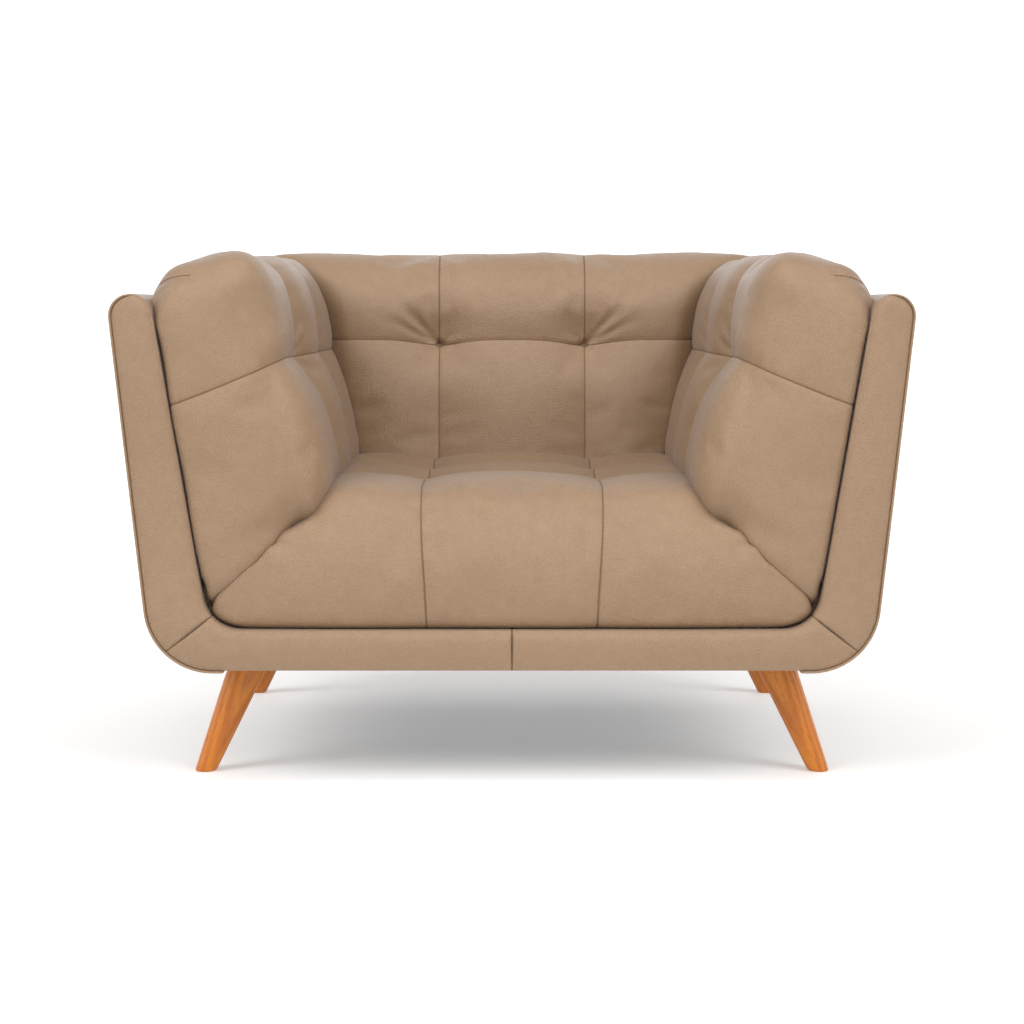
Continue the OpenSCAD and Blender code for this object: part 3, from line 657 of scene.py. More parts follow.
def make_arm(sign, name, leather, thread):
    """An arm pad: sign is 1 on the left, where X is positive, and -1 on the right."""
    wide, depth, height = 180 * MM, 640 * MM, 348 * MM
    seam_h = 200 * MM
    xs = lines([0, wide], STEP)
    ys = lines([0, ROWS[0], ROWS[1], depth], STEP)
    zs = lines([0, seam_h, height], STEP)
    p, faces = box_grid(xs, ys, zs)
    n = len(p)
    lo, hi = np.array([0.0, 0, 0]), np.array([wide, depth, height])
    rise = smooth((p[:, 2] - (height - 80 * MM)) / (80 * MM))
    r_lo = np.stack([lerp(82 * MM, 46 * MM, rise), np.full(n, 74 * MM), np.full(n, 3 * MM)], axis=1)
    r_hi = np.stack([lerp(5 * MM, 62 * MM, rise), np.full(n, 8 * MM), np.full(n, 47 * MM)], axis=1)
    s = rounded(p, lo, hi, r_lo, r_hi)
    a, c = s[:, 0] / wide, s[:, 2] / height
    top_z = PAD_TOP - 14 * MM
    crease_z = SEAT_TOP - 17 * MM
    in_z = lerp(crease_z - 3 * MM, top_z, c)
    behind = smooth((p[:, 1] - ROWS[0] + 20 * MM) / (70 * MM))
    in_x = 270 * MM + (in_z - crease_z) * lerp(0.235, 0.195, behind)
    out_z = lerp(IN_C[1] - 27 * MM, top_z, c)
    corner = inner_corner(out_z, 0.2 * MM)
    line_x = ROLL_X - ROLL / math.cos(INNER_LEAN) + (out_z - ROLL_Z) * math.tan(INNER_LEAN) + 2 * MM
    out_x = np.where(out_z < IN_C[1] + 8 * MM, np.minimum(corner, line_x), line_x)
    x = lerp(in_x, out_x, a)
    z = lerp(in_z, out_z, a) - 14 * MM * 4 * a * (1 - a) * (1 - c) ** 2
    z = z - 42 * MM * np.clip((x - 365 * MM) / (160 * MM), 0, 1) * smooth((z - top_z + 130 * MM) / (110 * MM))
    y_end = BACK_FACE + (x - ARM_FACE) * MITRE_K - 0.8 * MM
    straight = FRONT + s[:, 1]
    past = np.clip((s[:, 1] - ROWS[1]) / (depth - ROWS[1]), 0, 1)
    y = np.where(s[:, 1] > ROWS[1], lerp(FRONT + ROWS[1], y_end, past), straight)
    y = y + (PAD_FRONT - FRONT + 3 * MM) * smooth(1 - s[:, 1] / (90 * MM))
    at_front = smooth(1 - s[:, 1] / (60 * MM))
    near_foot = smooth(1 - s[:, 2] / (60 * MM)) * at_front
    y = y + near_foot * np.clip(seat_recess(z), 0, 16 * MM)
    y = y + 11 * MM * np.clip(1 - s[:, 2] / (20 * MM), 0, 1) ** 1.5 * at_front * smooth(a / 0.12)
    front = p[:, 1] == 0
    inner = p[:, 0] == 0
    top = p[:, 2] == hi[2]
    outer = (p[:, 0] == wide) & (z > SHELL_TOP - 50 * MM)
    shown = front | inner | top | outer
    # along the leather: from the front's outer edge, round the corner and back
    turn = np.where(front & ~inner, -p[:, 0], p[:, 1])
    flat_run = np.where(top, p[:, 1], turn)
    d_row = np.minimum(np.abs(flat_run - ROWS[0]), np.abs(flat_run - ROWS[1]))
    d_seam = np.where(top, 400 * MM, np.abs(p[:, 2] - seam_h))
    obj = make_object(name + "_pad", np.stack([x, y, z], axis=1), faces)
    on_front = smooth(-flat_run / (60 * MM) + 0.3) * (~top)
    upper = smooth((p[:, 2] - seam_h) / (60 * MM))
    end = swell(depth - flat_run + 14 * MM, 60 * MM)
    foot = swell(p[:, 2] + 22 * MM * (1 - smooth(-flat_run / (60 * MM) + 0.5)), 70 * MM, 1.9)
    near_top = np.where(top, 1, smooth((p[:, 2] - (height - 96 * MM)) / (80 * MM)))
    out_edge = lerp(swell(wide - p[:, 0] + 4 * MM, 46 * MM), 1, np.maximum(near_top, ~front * 1.0))
    along = lerp(0.12, 1, swell(d_row, 100 * MM, 1.9)) * end
    at_seam = np.where(flat_run < 0, 0.8 * smooth(-flat_run / (60 * MM)), 0.4 * behind)
    up = lerp(at_seam, 1, swell(d_seam, 110 * MM, 2.0)) * foot
    up = np.where(top, 1, up)
    side_puff = lerp(lerp(27 * MM, lerp(10 * MM, 19 * MM, behind), upper), 7 * MM, near_top)
    front_puff = lerp(9 * MM, 6 * MM, near_top)
    puff = lerp(side_puff, front_puff, on_front) * along * up * out_edge
    valley = 1 - swell(d_row, 60 * MM, 2.0)
    puff -= 9 * MM * valley * (1 - on_front) * lerp(1, 0.35, near_top) * foot * np.where(top, 0.3, 1)
    mask = (inner & ~top) * 1.0
    creases = []
    for row, drop in zip(ROWS, (17 * MM, 9 * MM)):
        ahead = np.where(turn < row, 0.6, 1.0)
        r = np.hypot((turn - row) * ahead, p[:, 2] - seam_h)
        puff -= drop * pit(r, 90 * MM, 1.7) * mask
        folds = [(215, 74, 3.0, 6), (62, 90, 4.5, 6), (112, 80, 3.2, 6),
                 (36, 70, 3.4, 6), (300, 84, 4.0, 6), (328, 70, 3.0, 6)]
        creases.append(((row, seam_h), folds))
    puff += 1.3 * MM * noise3(coords(obj) * np.array([sign, 1, 1]), 0.18, 21) * np.clip(along, 0, 1)
    raise_puffs(obj, puff, shown, turn, p[:, 2], mask)
    iy = np.isin(np.round(p[:, 1], 6), np.round(ROWS, 6)) & (inner | top | outer)
    iz = np.isclose(p[:, 2], seam_h) & (inner | front)
    mark_seams(obj, upright=iy, level=iz)
    held = np.where(~shown, 1.0, 0.0)
    held = np.maximum(held, np.where(iy | iz, 0.96, 0))
    held = np.maximum(held, bell(p[:, 2], 8 * MM))
    held = np.maximum(held, np.where(front, bell(wide - p[:, 0], 9 * MM), 0))
    inflate(obj, held)
    # the dart on the front's outer shoulder: a short groove with a pucker at its end
    co, nrm = coords(obj), normals(obj)
    near = np.full(n, 9.0)
    for x_at, z_at in DART:
        near = np.minimum(near, np.hypot(co[:, 0] - x_at, co[:, 2] - z_at))
    sunk = 3.2 * bell(near, 5 * MM) - 1.6 * bell(near - 13 * MM, 8 * MM)
    x_end, z_end = DART[-1] - np.array((12, 4)) * MM
    sunk = sunk + 2.5 * bell(np.hypot(co[:, 0] - x_end, co[:, 2] - z_end), 10 * MM)
    co -= nrm * (sunk * MM * (co[:, 1] < FRONT + 70 * MM))[:, None]
    set_coords(obj, co)
    if sign < 0:
        co = coords(obj)
        co[:, 0] *= -1
        set_coords(obj, co)
        obj.data.flip_normals()
    side = "left" if sign > 0 else "right"
    replaced = ("arm_cover_" + side, "arm_foam_" + side)
    return finish_pad(name, obj, replaced, ("upright", "level"), creases, leather, thread)


# ---------- shell ----------

HIDE = 3.4 * MM      # thickness of the shell's leather at its front edge


def outer_line(inset, n=16):
    """The shell's outer side from under the seat, round the corner and up to the top of the roll, in XZ."""
    return np.concatenate([
        arc_points(OUT_C, CORNER_R - inset, -90, -6, n + 8),
        arc_points((ROLL_X, ROLL_Z), ROLL - inset, -6, 90, n)])


def inner_line(inset, n=16):
    """The band's inner edge from the bottom, round the corner and up to the top of the roll, in XZ."""
    return np.concatenate([
        arc_points(IN_C, CORNER_IN_R + inset, -90, -9.3, n + 4),
        arc_points((ROLL_X, ROLL_Z), ROLL - inset, 180 - 9.3, 90, n)])


def panel(node, outer, inner, ends, front, leather, crown=8.5 * MM, cols=18):
    """A padded strip of leather between an outer and an inner line, with rolled edges, in place of a CAD
    node. ends says how far from each end its face is drawn in."""
    rows = len(outer)
    w = 0.5 - 0.5 * np.cos(np.linspace(0, math.pi, cols))
    w = lerp(w, np.linspace(0, 1, cols), 0.45)
    xz = outer[:, None, :] + (inner - outer)[:, None, :] * w[None, :, None]
    width = np.linalg.norm(inner - outer, axis=1)[:, None]
    d_out, d_in = w[None, :] * width, (1 - w[None, :]) * width
    along = lengths((outer + inner) / 2)[:, None]
    lift = crown * (0.75 * swell(d_in, 15 * MM, 2.2) + 0.25 * swell(d_in, 30 * MM, 2))
    lift = lift * swell(d_out + 0.5 * MM, 46 * MM, 1.9)
    if ends[0]:
        lift = lift * lerp(0.75, 1, swell(along, ends[0], 2.2))
    if ends[1]:
        lift = lift * lerp(0.75, 1, swell(along[-1] - along, ends[1], 2.2))
    face = np.stack([xz[..., 0], front - lift, xz[..., 1]], axis=-1)
    faces = [f[::-1] for f in grid_faces(rows, cols)]
    # the edges turn back into the chair, to a rear face
    levels = [face]
    for back in (2 * MM, 12 * MM, 24 * MM):
        level = face.copy()
        level[..., 1] = front + back
        levels.append(level)
    all_co = [level.reshape(-1, 3) for level in levels]
    size = rows * cols
    border = ([(i, 0) for i in range(rows)] + [(rows - 1, j) for j in range(1, cols)]
              + [(i, cols - 1) for i in range(rows - 2, -1, -1)] + [(0, j) for j in range(cols - 2, 0, -1)])
    loop = [i * cols + j for i, j in border]
    for level in range(3):
        for k in range(len(loop)):
            m = (k + 1) % len(loop)
            faces.append((loop[k] + level * size, loop[m] + level * size,
                          loop[m] + (level + 1) * size, loop[k] + (level + 1) * size))
    faces += grid_faces(rows, cols, 3 * size)
    obj = make_object(node + "_panel", np.concatenate(all_co), faces)
    merge(obj)
    subdivide(obj)
    finish(obj, leather, "tan_leather", node)


def merge(obj, distance=0.02 * MM):
    bm = bmesh.new()
    bm.from_mesh(obj.data)
    loose = [v for v in bm.verts if not v.link_faces]
    bmesh.ops.delete(bm, geom=loose, context="VERTS")
    bmesh.ops.remove_doubles(bm, verts=bm.verts, dist=distance)
    bmesh.ops.dissolve_degenerate(bm, edges=bm.edges, dist=distance)
    bmesh.ops.recalc_face_normals(bm, faces=bm.faces)
    bm.to_mesh(obj.data)
    bm.free()
    obj.data.polygons.foreach_set("use_smooth", [True] * len(obj.data.polygons))
    obj.data.update()


def mirrored(points, sign):
    out = np.array(points, float)
    out[:, 0] *= sign
    return out


def make_facings(leather, thread):
    edge = HIDE + 0.3 * MM
    outer = np.concatenate([[[0.0002, UNDER + edge]], outer_line(edge)])
    inner = np.concatenate([[[0.0002, UNDER + BAND]], inner_line(0)])
    outer, inner = resample(outer, 4 * MM), resample(inner, 4 * MM)
    # the mitre: a line from the inner corner to the outer one
    a = math.radians(-38)
    direction = np.array([math.cos(a), math.sin(a)])
    i_in = int(np.argmin(np.linalg.norm(inner - (np.array(IN_C) + CORNER_IN_R * direction), axis=1)))
    start = inner[i_in]
    cross = (outer[:, 0] - start[0]) * direction[1] - (outer[:, 1] - start[1]) * direction[0]
    ahead = (outer - start) @ direction > 0
    i_out = int(np.argmin(np.where(ahead, np.abs(cross), 9)))
    front = FRONT + 3 * MM
    for sign, side in ((1, "left"), (-1, "right")):
        for node, out, into, count, ends in (
                ("base_facing_" + side, outer[:i_out + 1], inner[:i_in + 1], 96, (3 * MM, 3 * MM)),
                ("arm_facing_" + side, outer[i_out:], inner[i_in:], 120, (3 * MM, 0))):
            out, into = (mirrored(resample(line, count=count), sign) for line in (out, into))
            panel(node, out, into, ends, front, leather)
    # thread in the seams: round the rim, along the mitres and down the middle
    over = arc_points((ROLL_X, ROLL_Z), ROLL - edge, 90, 175, 12)
    rim = resample(np.concatenate([outer_line(edge - 0.4 * MM), over]), 3 * MM)
    paths = []
    for sign in (1, -1):
        paths.append(np.c_[rim[:, 0] * sign, np.full(len(rim), front - 0.2 * MM), rim[:, 1]])
        ends = np.linspace(0, 1, 24)[:, None]
        mitre = lerp(outer[i_out], inner[i_in], ends)
        paths.append(np.c_[mitre[:, 0] * sign, np.full(24, front - 0.3 * MM), mitre[:, 1]])
    rise = np.linspace(UNDER + edge, UNDER + BAND, 24)
    paths.append(np.c_[np.zeros(24), np.full(24, front - 0.3 * MM), rise])
    lay_thread("facing_thread", paths, thread)


def make_sleeve(sign, side, leather):
    """A side cover: up from under the shell, round the corner, over the roll and down inside."""
    flap = ROLL_Z - 90 * MM
    line = np.concatenate([[[SLEEVE_FOOT, UNDER]], outer_line(0, 22),
                           arc_points((ROLL_X, ROLL_Z), ROLL, 90, 180 - 9.3, 18), [[inner_x(flap), flap]]])
    line = resample(line, 7 * MM)
    out = outward(line)
    up = np.clip((line[:, 1] - UNDER) / (SHELL_TOP - UNDER), 0, 1)
    flat = smooth(up / 0.25) * smooth((0.9 - up) / 0.3) * (line[:, 0] > ROLL_X - 1 * MM)
    # the rolled rim at each end: distance from the end, and height over the outline
    rim = [(9.0, -3.4), (2.5, -3.4), (0.7, -3.0), (0.0, -1.7), (0.35, -0.5), (1.4, 0.0), (4.0, 0.15),
           (7.5, -0.5), (12.0, -0.1)]
    rim = [(y * MM, h * MM) for y, h in rim]
    over_roll = ROLL_Y + np.sqrt(np.maximum(ROLL ** 2 - (line[:, 1] - ROLL_Z) ** 2, 0))
    rear_end = np.where(line[:, 1] > ROLL_Z, over_roll, shell_y(line[:, 1]))
    inside = (line[:, 0] < ROLL_X - 2 * MM) & (line[:, 1] > flap - 5 * MM)
    rear_end = np.where(inside, np.minimum(rear_end, REAR - 2.1 * ROLL), rear_end)
    columns = []
    for y, h in rim:
        columns.append((np.full(len(line), FRONT + y), np.full(len(line), h)))
    middle = np.linspace(0, 1, 64)[1:-1]
    for t in middle:
        crown = 2.2 * MM * math.sin(math.pi * t) ** 0.7
        columns.append((lerp(FRONT + 12 * MM, rear_end - 12 * MM, t), crown * flat))
    for y, h in reversed(rim):
        columns.append((rear_end - y, np.full(len(line), h)))
    co = []
    for y, h in columns:
        pts = line + out * h[:, None]
        co.append(np.stack([pts[:, 0], y, pts[:, 1]], axis=1))
    co = np.array(co)
    wave = 0.5 * MM * noise3(co.reshape(-1, 3), 0.22, 31).reshape(co.shape[:2])
    wave[:len(rim)] = 0
    wave[-len(rim):] = 0
    co[..., 0] += wave * out[None, :, 0]
    co[..., 2] += wave * out[None, :, 1]
    rows, cols = co.shape[:2]
    co = co.reshape(-1, 3)
    co[:, 0] *= sign
    faces = grid_faces(rows, cols)
    obj = make_object("side_cover_" + side, co, faces)
    thicken(obj, 1.4 * MM)
    subdivide(obj)
    finish(obj, leather, "tan_leather", "shell_cover_" + side)


def thicken(obj, thickness):
    """Gives a sheet an inner face, on the side away from its normals."""
    bm = bmesh.new()
    bm.from_mesh(obj.data)
    bmesh.ops.recalc_face_normals(bm, faces=bm.faces)
    bm.to_mesh(obj.data)
    bm.free()
    co, nrm = coords(obj), normals(obj)
    centre = np.array([0, 0, (UNDER + SHELL_TOP) / 2])
    if ((co - centre) * nrm).sum() < 0:
        obj.data.flip_normals()
    modifier = obj.modifiers.new("thickness", "SOLIDIFY")
    modifier.thickness = thickness
    modifier.offset = -1
    bake_modifiers(obj)


def make_outer_back(leather, thread):
    """The outside back, over the rear roll and down behind the back pad."""
    t = HIDE + 0.3 * MM
    flap = ROLL_Z - 60 * MM
    under = [[shell_y(UNDER, 1 * MM), UNDER + t]]
    flap_y = ROLL_Y - ROLL / math.cos(INNER_LEAN) - 90 * MM * math.tan(INNER_LEAN) + 6 * MM
    line = np.concatenate([under, arc_points((ROLL_Y, ROLL_Z), ROLL - 1 * MM, -6, 180 - 9.3, 26),
                           [[flap_y, flap]]])
    line = resample(line, 8 * MM)
    out = outward(line)
    z = line[:, 1]
    half = []
    for y, zz in line:
        if y < ROLL_Y and zz > flap - 1 * MM:
            half.append(ROLL_X + 5 * MM)
        elif zz > ROLL_Z:
            half.append(ROLL_X + math.sqrt(max((ROLL - t) ** 2 - (zz - ROLL_Z) ** 2, 0)))
        elif zz < UNDER + CORNER_R:
            drop = min(OUT_C[1] - zz, CORNER_R - t)
            half.append(OUT_C[0] + math.sqrt(max((CORNER_R - t) ** 2 - drop ** 2, 0)))
        else:
            half.append(outer_x(zz, t))
    half = np.array(half)
    u = np.sin(np.linspace(-math.pi / 2, math.pi / 2, 120))
    u = lerp(u, np.linspace(-1, 1, 120), 0.6)
    x = half[:, None] * u[None, :]
    edge = half[:, None] * (1 - np.abs(u[None, :]))
    foot = (z - z[0])[:, None]
    behind = ((line[:, 0] > ROLL_Y - 5 * MM) | (z < flap - 1 * MM))[:, None] * 1.0
    lift = 3.0 * MM * swell(edge + 0.5 * MM, 9 * MM) * swell(foot + 0.5 * MM, 9 * MM) * behind - 1.0 * MM
    lift = lift + 2.0 * MM * behind * np.clip(1 - np.abs(u[None, :]) ** 3, 0, 1) * swell(foot, 150 * MM)
    co = np.stack([x, line[:, :1] + out[:, :1] * lift, z[:, None] + out[:, 1:] * lift], axis=-1)
    rows, cols = co.shape[:2]
    flat = co.reshape(-1, 3)
    flat = flat + np.repeat(np.stack([0 * z, out[:, 0], out[:, 1]], axis=1), cols, axis=0) * (
        0.5 * MM * noise3(flat, 0.25, 41))[:, None]
    obj = make_object("outer_back_cover", flat, grid_faces(rows, cols))
    thicken(obj, 1.6 * MM)
    subdivide(obj)
    finish(obj, leather, "tan_leather", "shell_cover_back")
    keep = (line[:, 0] > ROLL_Y) | (z < flap - 1 * MM)
    sunk = (line - out * 1.0 * MM)[keep]
    paths = [np.c_[sign * (half[keep] + 0.2 * MM), sunk] for sign in (-1, 1)]
    lay_thread("outer_back_thread", paths, thread)


# ---------- legs ----------

def make_leg(node, wood):
    """A turned leg along its CAD axis: cut level at the top, with a softened edge at the foot."""
    lo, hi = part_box(node)
    sx, sy = math.copysign(1, lo.x + hi.x), math.copysign(1, lo.y + hi.y)
    foot_r, top_r = 14 * MM, 27.5 * MM
    # the turned foot comes down round the glide, to just above the floor
    foot = np.array([max(sx * hi.x, sx * lo.x) - 13.6 * MM, max(sy * hi.y, sy * lo.y) - 13.6 * MM, 0.4 * MM])
    foot[:2] *= (sx, sy)
    top = np.array([foot[0] - sx * 64 * MM, foot[1] - sy * 30 * MM, hi.z])
    axis = unit(top - foot)
    around = 48
    heights = [0.0, 0.0, 0.004, 0.01, 0.02] + list(np.linspace(0.05, 1.0, 26))
    pulls = [0.0, 0.86, 0.94, 0.985, 1.0] + [1.0] * 26
    side = unit(np.cross(axis, [0, 0, 1.0]))
    up = np.cross(side, axis)
    verts = []
    for t, pull in zip(heights, pulls):
        r = lerp(foot_r, top_r, t ** 0.94) * pull
        centre = lerp(foot, top, t)
        for k in range(around):
            a = 2 * math.pi * k / around
            point = centre + r * (math.cos(a) * side + math.sin(a) * up)
            # slide along the axis to the level cut
            point = point + axis * (centre[2] - point[2]) / axis[2]
            verts.append(point)
    faces = grid_faces(len(heights), around, 0, closed=True)
    faces.append(tuple(range(around)))
    faces.append(tuple(reversed([(len(heights) - 1) * around + k for k in range(around)])))
    obj = make_object(node + "_turned", verts, faces)
    merge(obj)
    # the grain follows each leg's own axis
    co = coords(obj) - foot
    set_attribute(obj, "along", co @ axis)
    set_attribute(obj, "across", co @ side + 0.37 * sx + 0.11 * sy)
    set_attribute(obj, "through", co @ up)
    finish(obj, wood, "oiled_oak", node)


# ---------- materials ----------

class Nodes:
    """A small helper that adds nodes to a material and links them."""

    def __init__(self, name):
        self.material = bpy.data.materials.new(name)
        self.material.use_nodes = True
        self.tree = self.material.node_tree
        self.shader = self.tree.nodes["Principled BSDF"]

    def add(self, kind, **values):
        node = self.tree.nodes.new(kind)
        for key, value in values.items():
            if hasattr(node, key):
                setattr(node, key, value)
            else:
                node.inputs[key.replace("_", " ")].default_value = value
        return node

    def place(self):
        """The point on the object."""
        return self.add("ShaderNodeTexCoord").outputs["Object"]

    def texture(self, kind, where, **values):
        node = self.add("ShaderNodeTex" + kind, **values)
        self.link(where, node.inputs["Vector"])
        return node

    def shade(self, **values):
        """Links or sets the shader's own sockets, and returns the material."""
        for key, value in values.items():
            self.fill(self.shader.inputs[key.replace("_", " ")], value)
        return self.material

    def link(self, out, into):
        self.tree.links.new(out, into)

    def fill(self, socket, value):
        """Links an output to the socket, or sets the socket to a number or a colour."""
        if hasattr(value, "links"):
            self.link(value, socket)
        else:
            socket.default_value = value

    def mix(self, factor, a, b):
        node = self.tree.nodes.new("ShaderNodeMix")
        node.data_type = "RGBA"
        for k, value in ((0, factor), (6, a), (7, b)):
            self.fill(node.inputs[k], value)
        return node.outputs[2]

    def math(self, operation, a, b=0.0, c=0.0):
        node = self.tree.nodes.new("ShaderNodeMath")
        node.operation = operation
        for socket, value in zip(node.inputs, (a, b, c)):
            self.fill(socket, value)
        return node.outputs[0]

    def ramp(self, value, low, high, to_low=0.0, to_high=1.0):
        node = self.tree.nodes.new("ShaderNodeMapRange")
        self.link(value, node.inputs[0])
        for socket, number in zip(node.inputs[1:5], (low, high, to_low, to_high)):
            socket.default_value = number
        return node.outputs[0]

    def bump(self, height, strength, distance, after=None):
        node = self.add("ShaderNodeBump", Strength=strength, Distance=distance)
        self.link(height, node.inputs["Height"])
        if after is not None:
            self.link(after, node.inputs["Normal"])
        return node.outputs[0]


def srgb(r, g, b):
    """A colour given in display values of 0 to 255, as linear values."""
    def one(c):
        c /= 255
        return c / 12.92 if c <= 0.04045 else ((c + 0.055) / 1.055) ** 2.4
    return (one(r), one(g), one(b), 1.0)


def leather_material(name="tan_leather_look"):
    m = Nodes(name)
    where = m.place()
    # tone: broad mottling, finer blotches, and specks in the pores
    broad = m.texture("Noise", where, Scale=5.0, Detail=4.0, Roughness=0.55)
    fine = m.texture("Noise", where, Scale=65.0, Detail=6.0, Roughness=0.6)
    tone = m.mix(m.ramp(broad.outputs[0], 0.3, 0.7), srgb(147, 119, 91), srgb(153, 125, 97))
    tone = m.mix(m.ramp(fine.outputs[0], 0.35, 0.7, 0.0, 0.3), tone, srgb(136, 108, 80))
    # the grain: small pebbles of two sizes, with creases between
    warp = m.texture("Noise", where, Scale=180.0, Detail=3.0)
    moved = m.add("ShaderNodeVectorMath", operation="MULTIPLY_ADD")
    m.link(warp.outputs["Color"], moved.inputs[0])
    moved.inputs[1].default_value = (0.0022, 0.0022, 0.0022)
    m.link(where, moved.inputs[2])
    pebbles = m.texture("Voronoi", moved.outputs[0], feature="DISTANCE_TO_EDGE", Scale=330.0)
    small = m.texture("Voronoi", moved.outputs[0], feature="DISTANCE_TO_EDGE", Scale=700.0)
    crease = m.ramp(pebbles.outputs["Distance"], 0.0, 0.22)
    crease2 = m.ramp(small.outputs["Distance"], 0.0, 0.25)
    grain = m.math("MULTIPLY_ADD", crease2, 0.4, crease)
    tone = m.mix(m.ramp(crease, 0.0, 0.7, 0.30, 0.0), tone, srgb(100, 75, 50))
    # painted shade: the leather in the seams' grooves, and right beside them, is darkened
    seam = m.add("ShaderNodeAttribute", attribute_name="seam")
    tone = m.mix(m.ramp(seam.outputs["Fac"], 0.55, 0.95, 0.0, 0.75), tone, srgb(92, 64, 38))
    rough = m.math("ADD", m.ramp(fine.outputs[0], 0.3, 0.7, 0.36, 0.45),
                   m.ramp(broad.outputs[0], 0.3, 0.7, -0.03, 0.03))
    wrinkles = m.texture("Noise", where, Scale=28.0, Detail=5.0, Roughness=0.55, Distortion=0.4)
    low = m.bump(wrinkles.outputs[0], 0.10, 0.006)
    return m.shade(Base_Color=tone, Roughness=rough, Normal=m.bump(grain, 0.42, 0.0011, low), IOR=1.48,
                   Sheen_Weight=0.20, Sheen_Roughness=0.36, Sheen_Tint=(0.70, 0.80, 1.0, 1.0),
                   Coat_Weight=0.08, Coat_Roughness=0.38)


def thread_material():
    m = Nodes("dark_thread")
    where = m.place()
    twist = m.texture("Noise", where, Scale=900.0, Detail=2.0)
    return m.shade(Base_Color=m.mix(twist.outputs[0], srgb(92, 64, 38), srgb(128, 94, 62)),
                   Normal=m.bump(twist.outputs[0], 0.5, 0.0004), Roughness=0.75)


def wood_material(name, tones, attributes, ring_scale=1.0):
    """Long grain: rings stretched along the piece, with pores and flecks. tones run from light to dark."""
    m = Nodes(name)
    light, mid, dark = (srgb(*tone) for tone in tones)
    if attributes:
        combine = m.add("ShaderNodeCombineXYZ")
        for k, key in enumerate(("across", "through", "along")):
            m.link(m.add("ShaderNodeAttribute", attribute_name=key).outputs["Fac"], combine.inputs[k])
        where = combine.outputs[0]
    else:
        where = m.place()
    stretch = m.add("ShaderNodeMapping")
    stretch.inputs["Scale"].default_value = (1.0, 1.0, 0.12) if attributes else (0.12, 1.0, 1.0)
    m.link(where, stretch.inputs["Vector"])
    bend = m.texture("Noise", stretch.outputs[0], Scale=14.0, Detail=3.0)
    moved = m.add("ShaderNodeVectorMath", operation="MULTIPLY_ADD")
    m.link(bend.outputs["Color"], moved.inputs[0])
    moved.inputs[1].default_value = (0.022, 0.022, 0.022)
    m.link(stretch.outputs[0], moved.inputs[2])
    rings = m.texture("Wave", moved.outputs[0], wave_type="RINGS", rings_direction="Z",
                      Scale=38.0 * ring_scale, Distortion=2.5, Detail=3.0)
    pores = m.texture("Noise", stretch.outputs[0], Scale=420.0, Detail=4.0, Roughness=0.7)
    tone = m.mix(m.ramp(rings.outputs["Fac"], 0.1, 0.9, 0.0, 0.7), light, mid)
    tone = m.mix(m.ramp(pores.outputs[0], 0.52, 0.72, 0.0, 0.75), tone, dark)
    height = m.math("MULTIPLY_ADD", rings.outputs["Fac"], 0.3, pores.outputs[0])
    return m.shade(Base_Color=tone, Roughness=m.ramp(pores.outputs[0], 0.3, 0.7, 0.34, 0.5),
                   Normal=m.bump(height, 0.2, 0.0006), Coat_Weight=0.08 if attributes else 0.0,
                   Coat_Roughness=0.3)


def plain_material(name, light, dark, scale, roughness, metallic=0.0, depth=0.0005):
    """Two tones mixed by noise, with a bump to match: steel, foam, felt, cloth and plastic."""
    m = Nodes(name)
    where = m.place()
    spots = m.texture("Noise", where, Scale=scale, Detail=6.0, Roughness=0.65)
    return m.shade(Base_Color=m.mix(m.ramp(spots.outputs[0], 0.35, 0.65), srgb(*dark), srgb(*light)),
                   Roughness=m.ramp(spots.outputs[0], 0.3, 0.7, roughness - 0.08, roughness + 0.08),
                   Normal=m.bump(spots.outputs[0], 0.4, depth), Metallic=metallic)


def cloth_material():
    """The black dust cloth: a fine weave."""
    m = Nodes("dust_cloth_look")
    where = m.place()
    weft = m.texture("Wave", where, bands_direction="X", Scale=260.0, Distortion=0.6)
    warp = m.texture("Wave", where, bands_direction="Y", Scale=260.0, Distortion=0.6)
    weave = m.math("MULTIPLY", weft.outputs["Fac"], warp.outputs["Fac"])
    return m.shade(Base_Color=m.mix(weave, srgb(14, 14, 15), srgb(44, 43, 42)),
                   Normal=m.bump(weave, 0.4, 0.0004), Roughness=0.9)


def dress_frame():
    """Gives each CAD node that stays its material, by its slot in the record."""
    looks = {
        "frame_hardwood": wood_material(
            "hardwood_look", ((206, 176, 132), (184, 150, 106), (140, 106, 70)), False),
        "frame_board": wood_material(
            "board_look", ((190, 160, 118), (170, 138, 98), (128, 98, 66)), False, 0.6),
        "tan_leather": leather_material("hidden_leather_look"),
        "dust_cloth": cloth_material(),
    }
    # slot, name, light and dark tone, scale of the spots, roughness, and where needed metal and depth
    for slot, *values in (
            ("spring_steel", "spring_steel_look", (150, 150, 152), (112, 112, 116), 240, 0.36, 1.0, 0.0001),
            ("zinc_steel", "zinc_look", (190, 190, 186), (150, 152, 150), 320, 0.42, 1.0, 0.0001),
            ("foam", "foam_look", (236, 228, 196), (214, 200, 158), 420, 0.9),
            ("felt", "felt_look", (128, 126, 122), (92, 90, 88), 600, 0.95),
            ("twine", "twine_look", (206, 190, 156), (160, 142, 110), 900, 0.9),
            ("glide_plastic", "glide_look", (150, 104, 58), (118, 78, 40), 500, 0.5, 0.0, 0.0002)):
        looks[slot] = plain_material(*values)
    for sub in frame["record"]["subparts"]:
        node = frame["nodes"][sub["node"]]
        look = looks.get(sub["material_slot"])
        if look is not None:
            node.data.materials.clear()
            node.data.materials.append(look)


# ---------- studio ----------

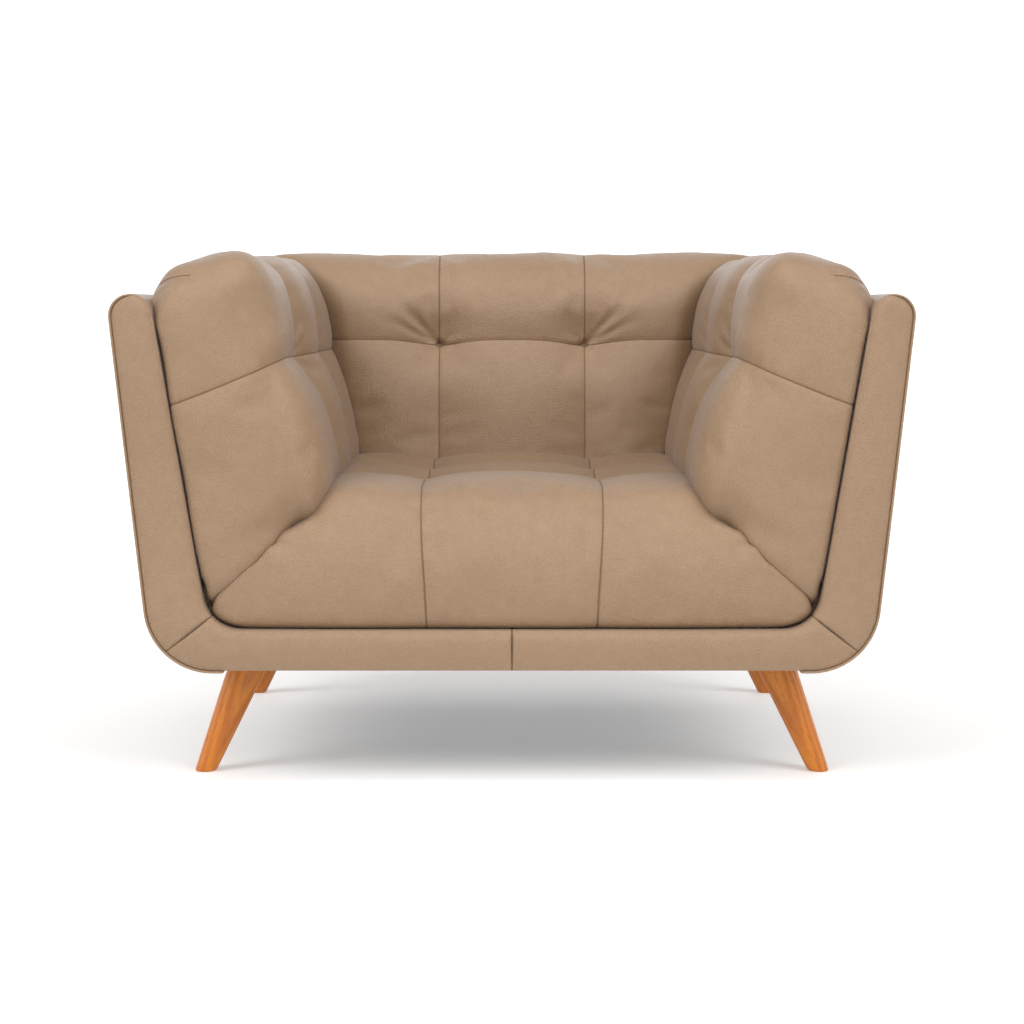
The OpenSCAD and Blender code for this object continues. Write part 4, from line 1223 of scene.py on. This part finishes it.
def area_light(name, place, target, size, power, colour=(1, 1, 1)):
    data = bpy.data.lights.new(name, "AREA")
    data.shape = "RECTANGLE"
    data.size, data.size_y = size
    data.energy = power
    data.color = colour
    obj = bpy.data.objects.new(name, data)
    bpy.context.scene.collection.objects.link(obj)
    obj.location = place
    obj.rotation_euler = (Vector(target) - Vector(place)).to_track_quat("-Z", "Y").to_euler()
    return obj


def make_studio():
    scene = bpy.context.scene
    scene.view_settings.view_transform = "Standard"
    world = bpy.data.worlds.new("studio")
    world.use_nodes = True
    world.node_tree.nodes["Background"].inputs[0].default_value = (1, 1, 1, 1)
    world.node_tree.nodes["Background"].inputs[1].default_value = 0.38
    scene.world = world
    # the floor: pale and round, with its rim swept up like a studio's backdrop
    m = Nodes("floor_look")
    where = m.place()
    haze = m.texture("Noise", where, Scale=1.5, Detail=2.0)
    m.shade(Base_Color=m.mix(haze.outputs[0], (0.86, 0.86, 0.86, 1), (0.88, 0.88, 0.88, 1)), Roughness=0.9,
            Specular_IOR_Level=0.1, Emission_Color=(1, 1, 1, 1), Emission_Strength=0.24)
    flat, bend, wall = 6.0, 2.0, 3.2
    turn = [math.radians(a) for a in range(0, 91, 6)]
    profile = [(0.001, 0.0), (1.5, 0.0), (3.5, 0.0)]
    profile += [(flat + bend * math.sin(a), bend - bend * math.cos(a)) for a in turn] + [(flat + bend, wall)]
    around = 96
    verts = [(r * math.cos(2 * math.pi * k / around), r * math.sin(2 * math.pi * k / around), z)
             for r, z in profile for k in range(around)]
    faces = grid_faces(len(profile), around, 0, closed=True) + [tuple(range(around))]
    floor = make_object("floor", verts, faces)
    floor.data.materials.append(m.material)
    # two wide soft lights, high in front on the left and on the right
    for side, turned, energy in (("left", 46, 1.35), ("right", -50, 1.5)):
        data = bpy.data.lights.new("key_" + side, "SUN")
        data.energy = energy
        data.angle = math.radians(34)
        key = bpy.data.objects.new("key_" + side, data)
        scene.collection.objects.link(key)
        key.rotation_euler = (math.radians(53), 0, math.radians(turned))
    area_light("above", (0, -1.1, 2.7), (0, -0.1, 0.4), (3.0, 0.5), 28)
    area_light("behind", (0, 2.4, 2.0), (0, 0.2, 0.4), (2.6, 1.0), 10, (0.9, 0.95, 1.0))


def make_camera():
    """The camera stands in front of the chair, a little above its arms, and looks slightly down."""
    data = bpy.data.cameras.new("camera")
    data.sensor_width = 36
    data.lens = 80.6
    obj = bpy.data.objects.new("camera", data)
    bpy.context.scene.collection.objects.link(obj)
    obj.location = (0, -3.572, 0.6655)
    obj.rotation_euler = (math.radians(90 - 5.145), 0, 0)
    bpy.context.scene.camera = obj


# ---------- the chair ----------

make_camera()
make_studio()
dress_frame()
leather = leather_material()
thread = thread_material()
oak = wood_material("oak_look", ((198, 116, 16), (172, 90, 8), (126, 62, 4)), True)
seat = make_seat(leather, thread)
make_back(leather, thread)
arms = {1: make_arm(1, "arm_left", leather, thread), -1: make_arm(-1, "arm_right", leather, thread)}
# the mitres between the seat and the arms, and the darts on the arms' shoulders
mitre = np.stack([MITRE_X, MITRE_Z], axis=1)
paths = []
for sign, arm in arms.items():
    paths.append(laid_on([seat, arm], mirrored(resample(mitre, 3 * MM), sign), 9 * MM))
    paths.append(laid_on([arm], mirrored(DART, sign)))
lay_thread("mitre_thread", paths, thread)
make_facings(leather, thread)
make_sleeve(1, "left", leather)
make_sleeve(-1, "right", leather)
make_outer_back(leather, thread)
for node in ("leg_front_left", "leg_front_right", "leg_rear_left", "leg_rear_right"):
    make_leg(node, oak)
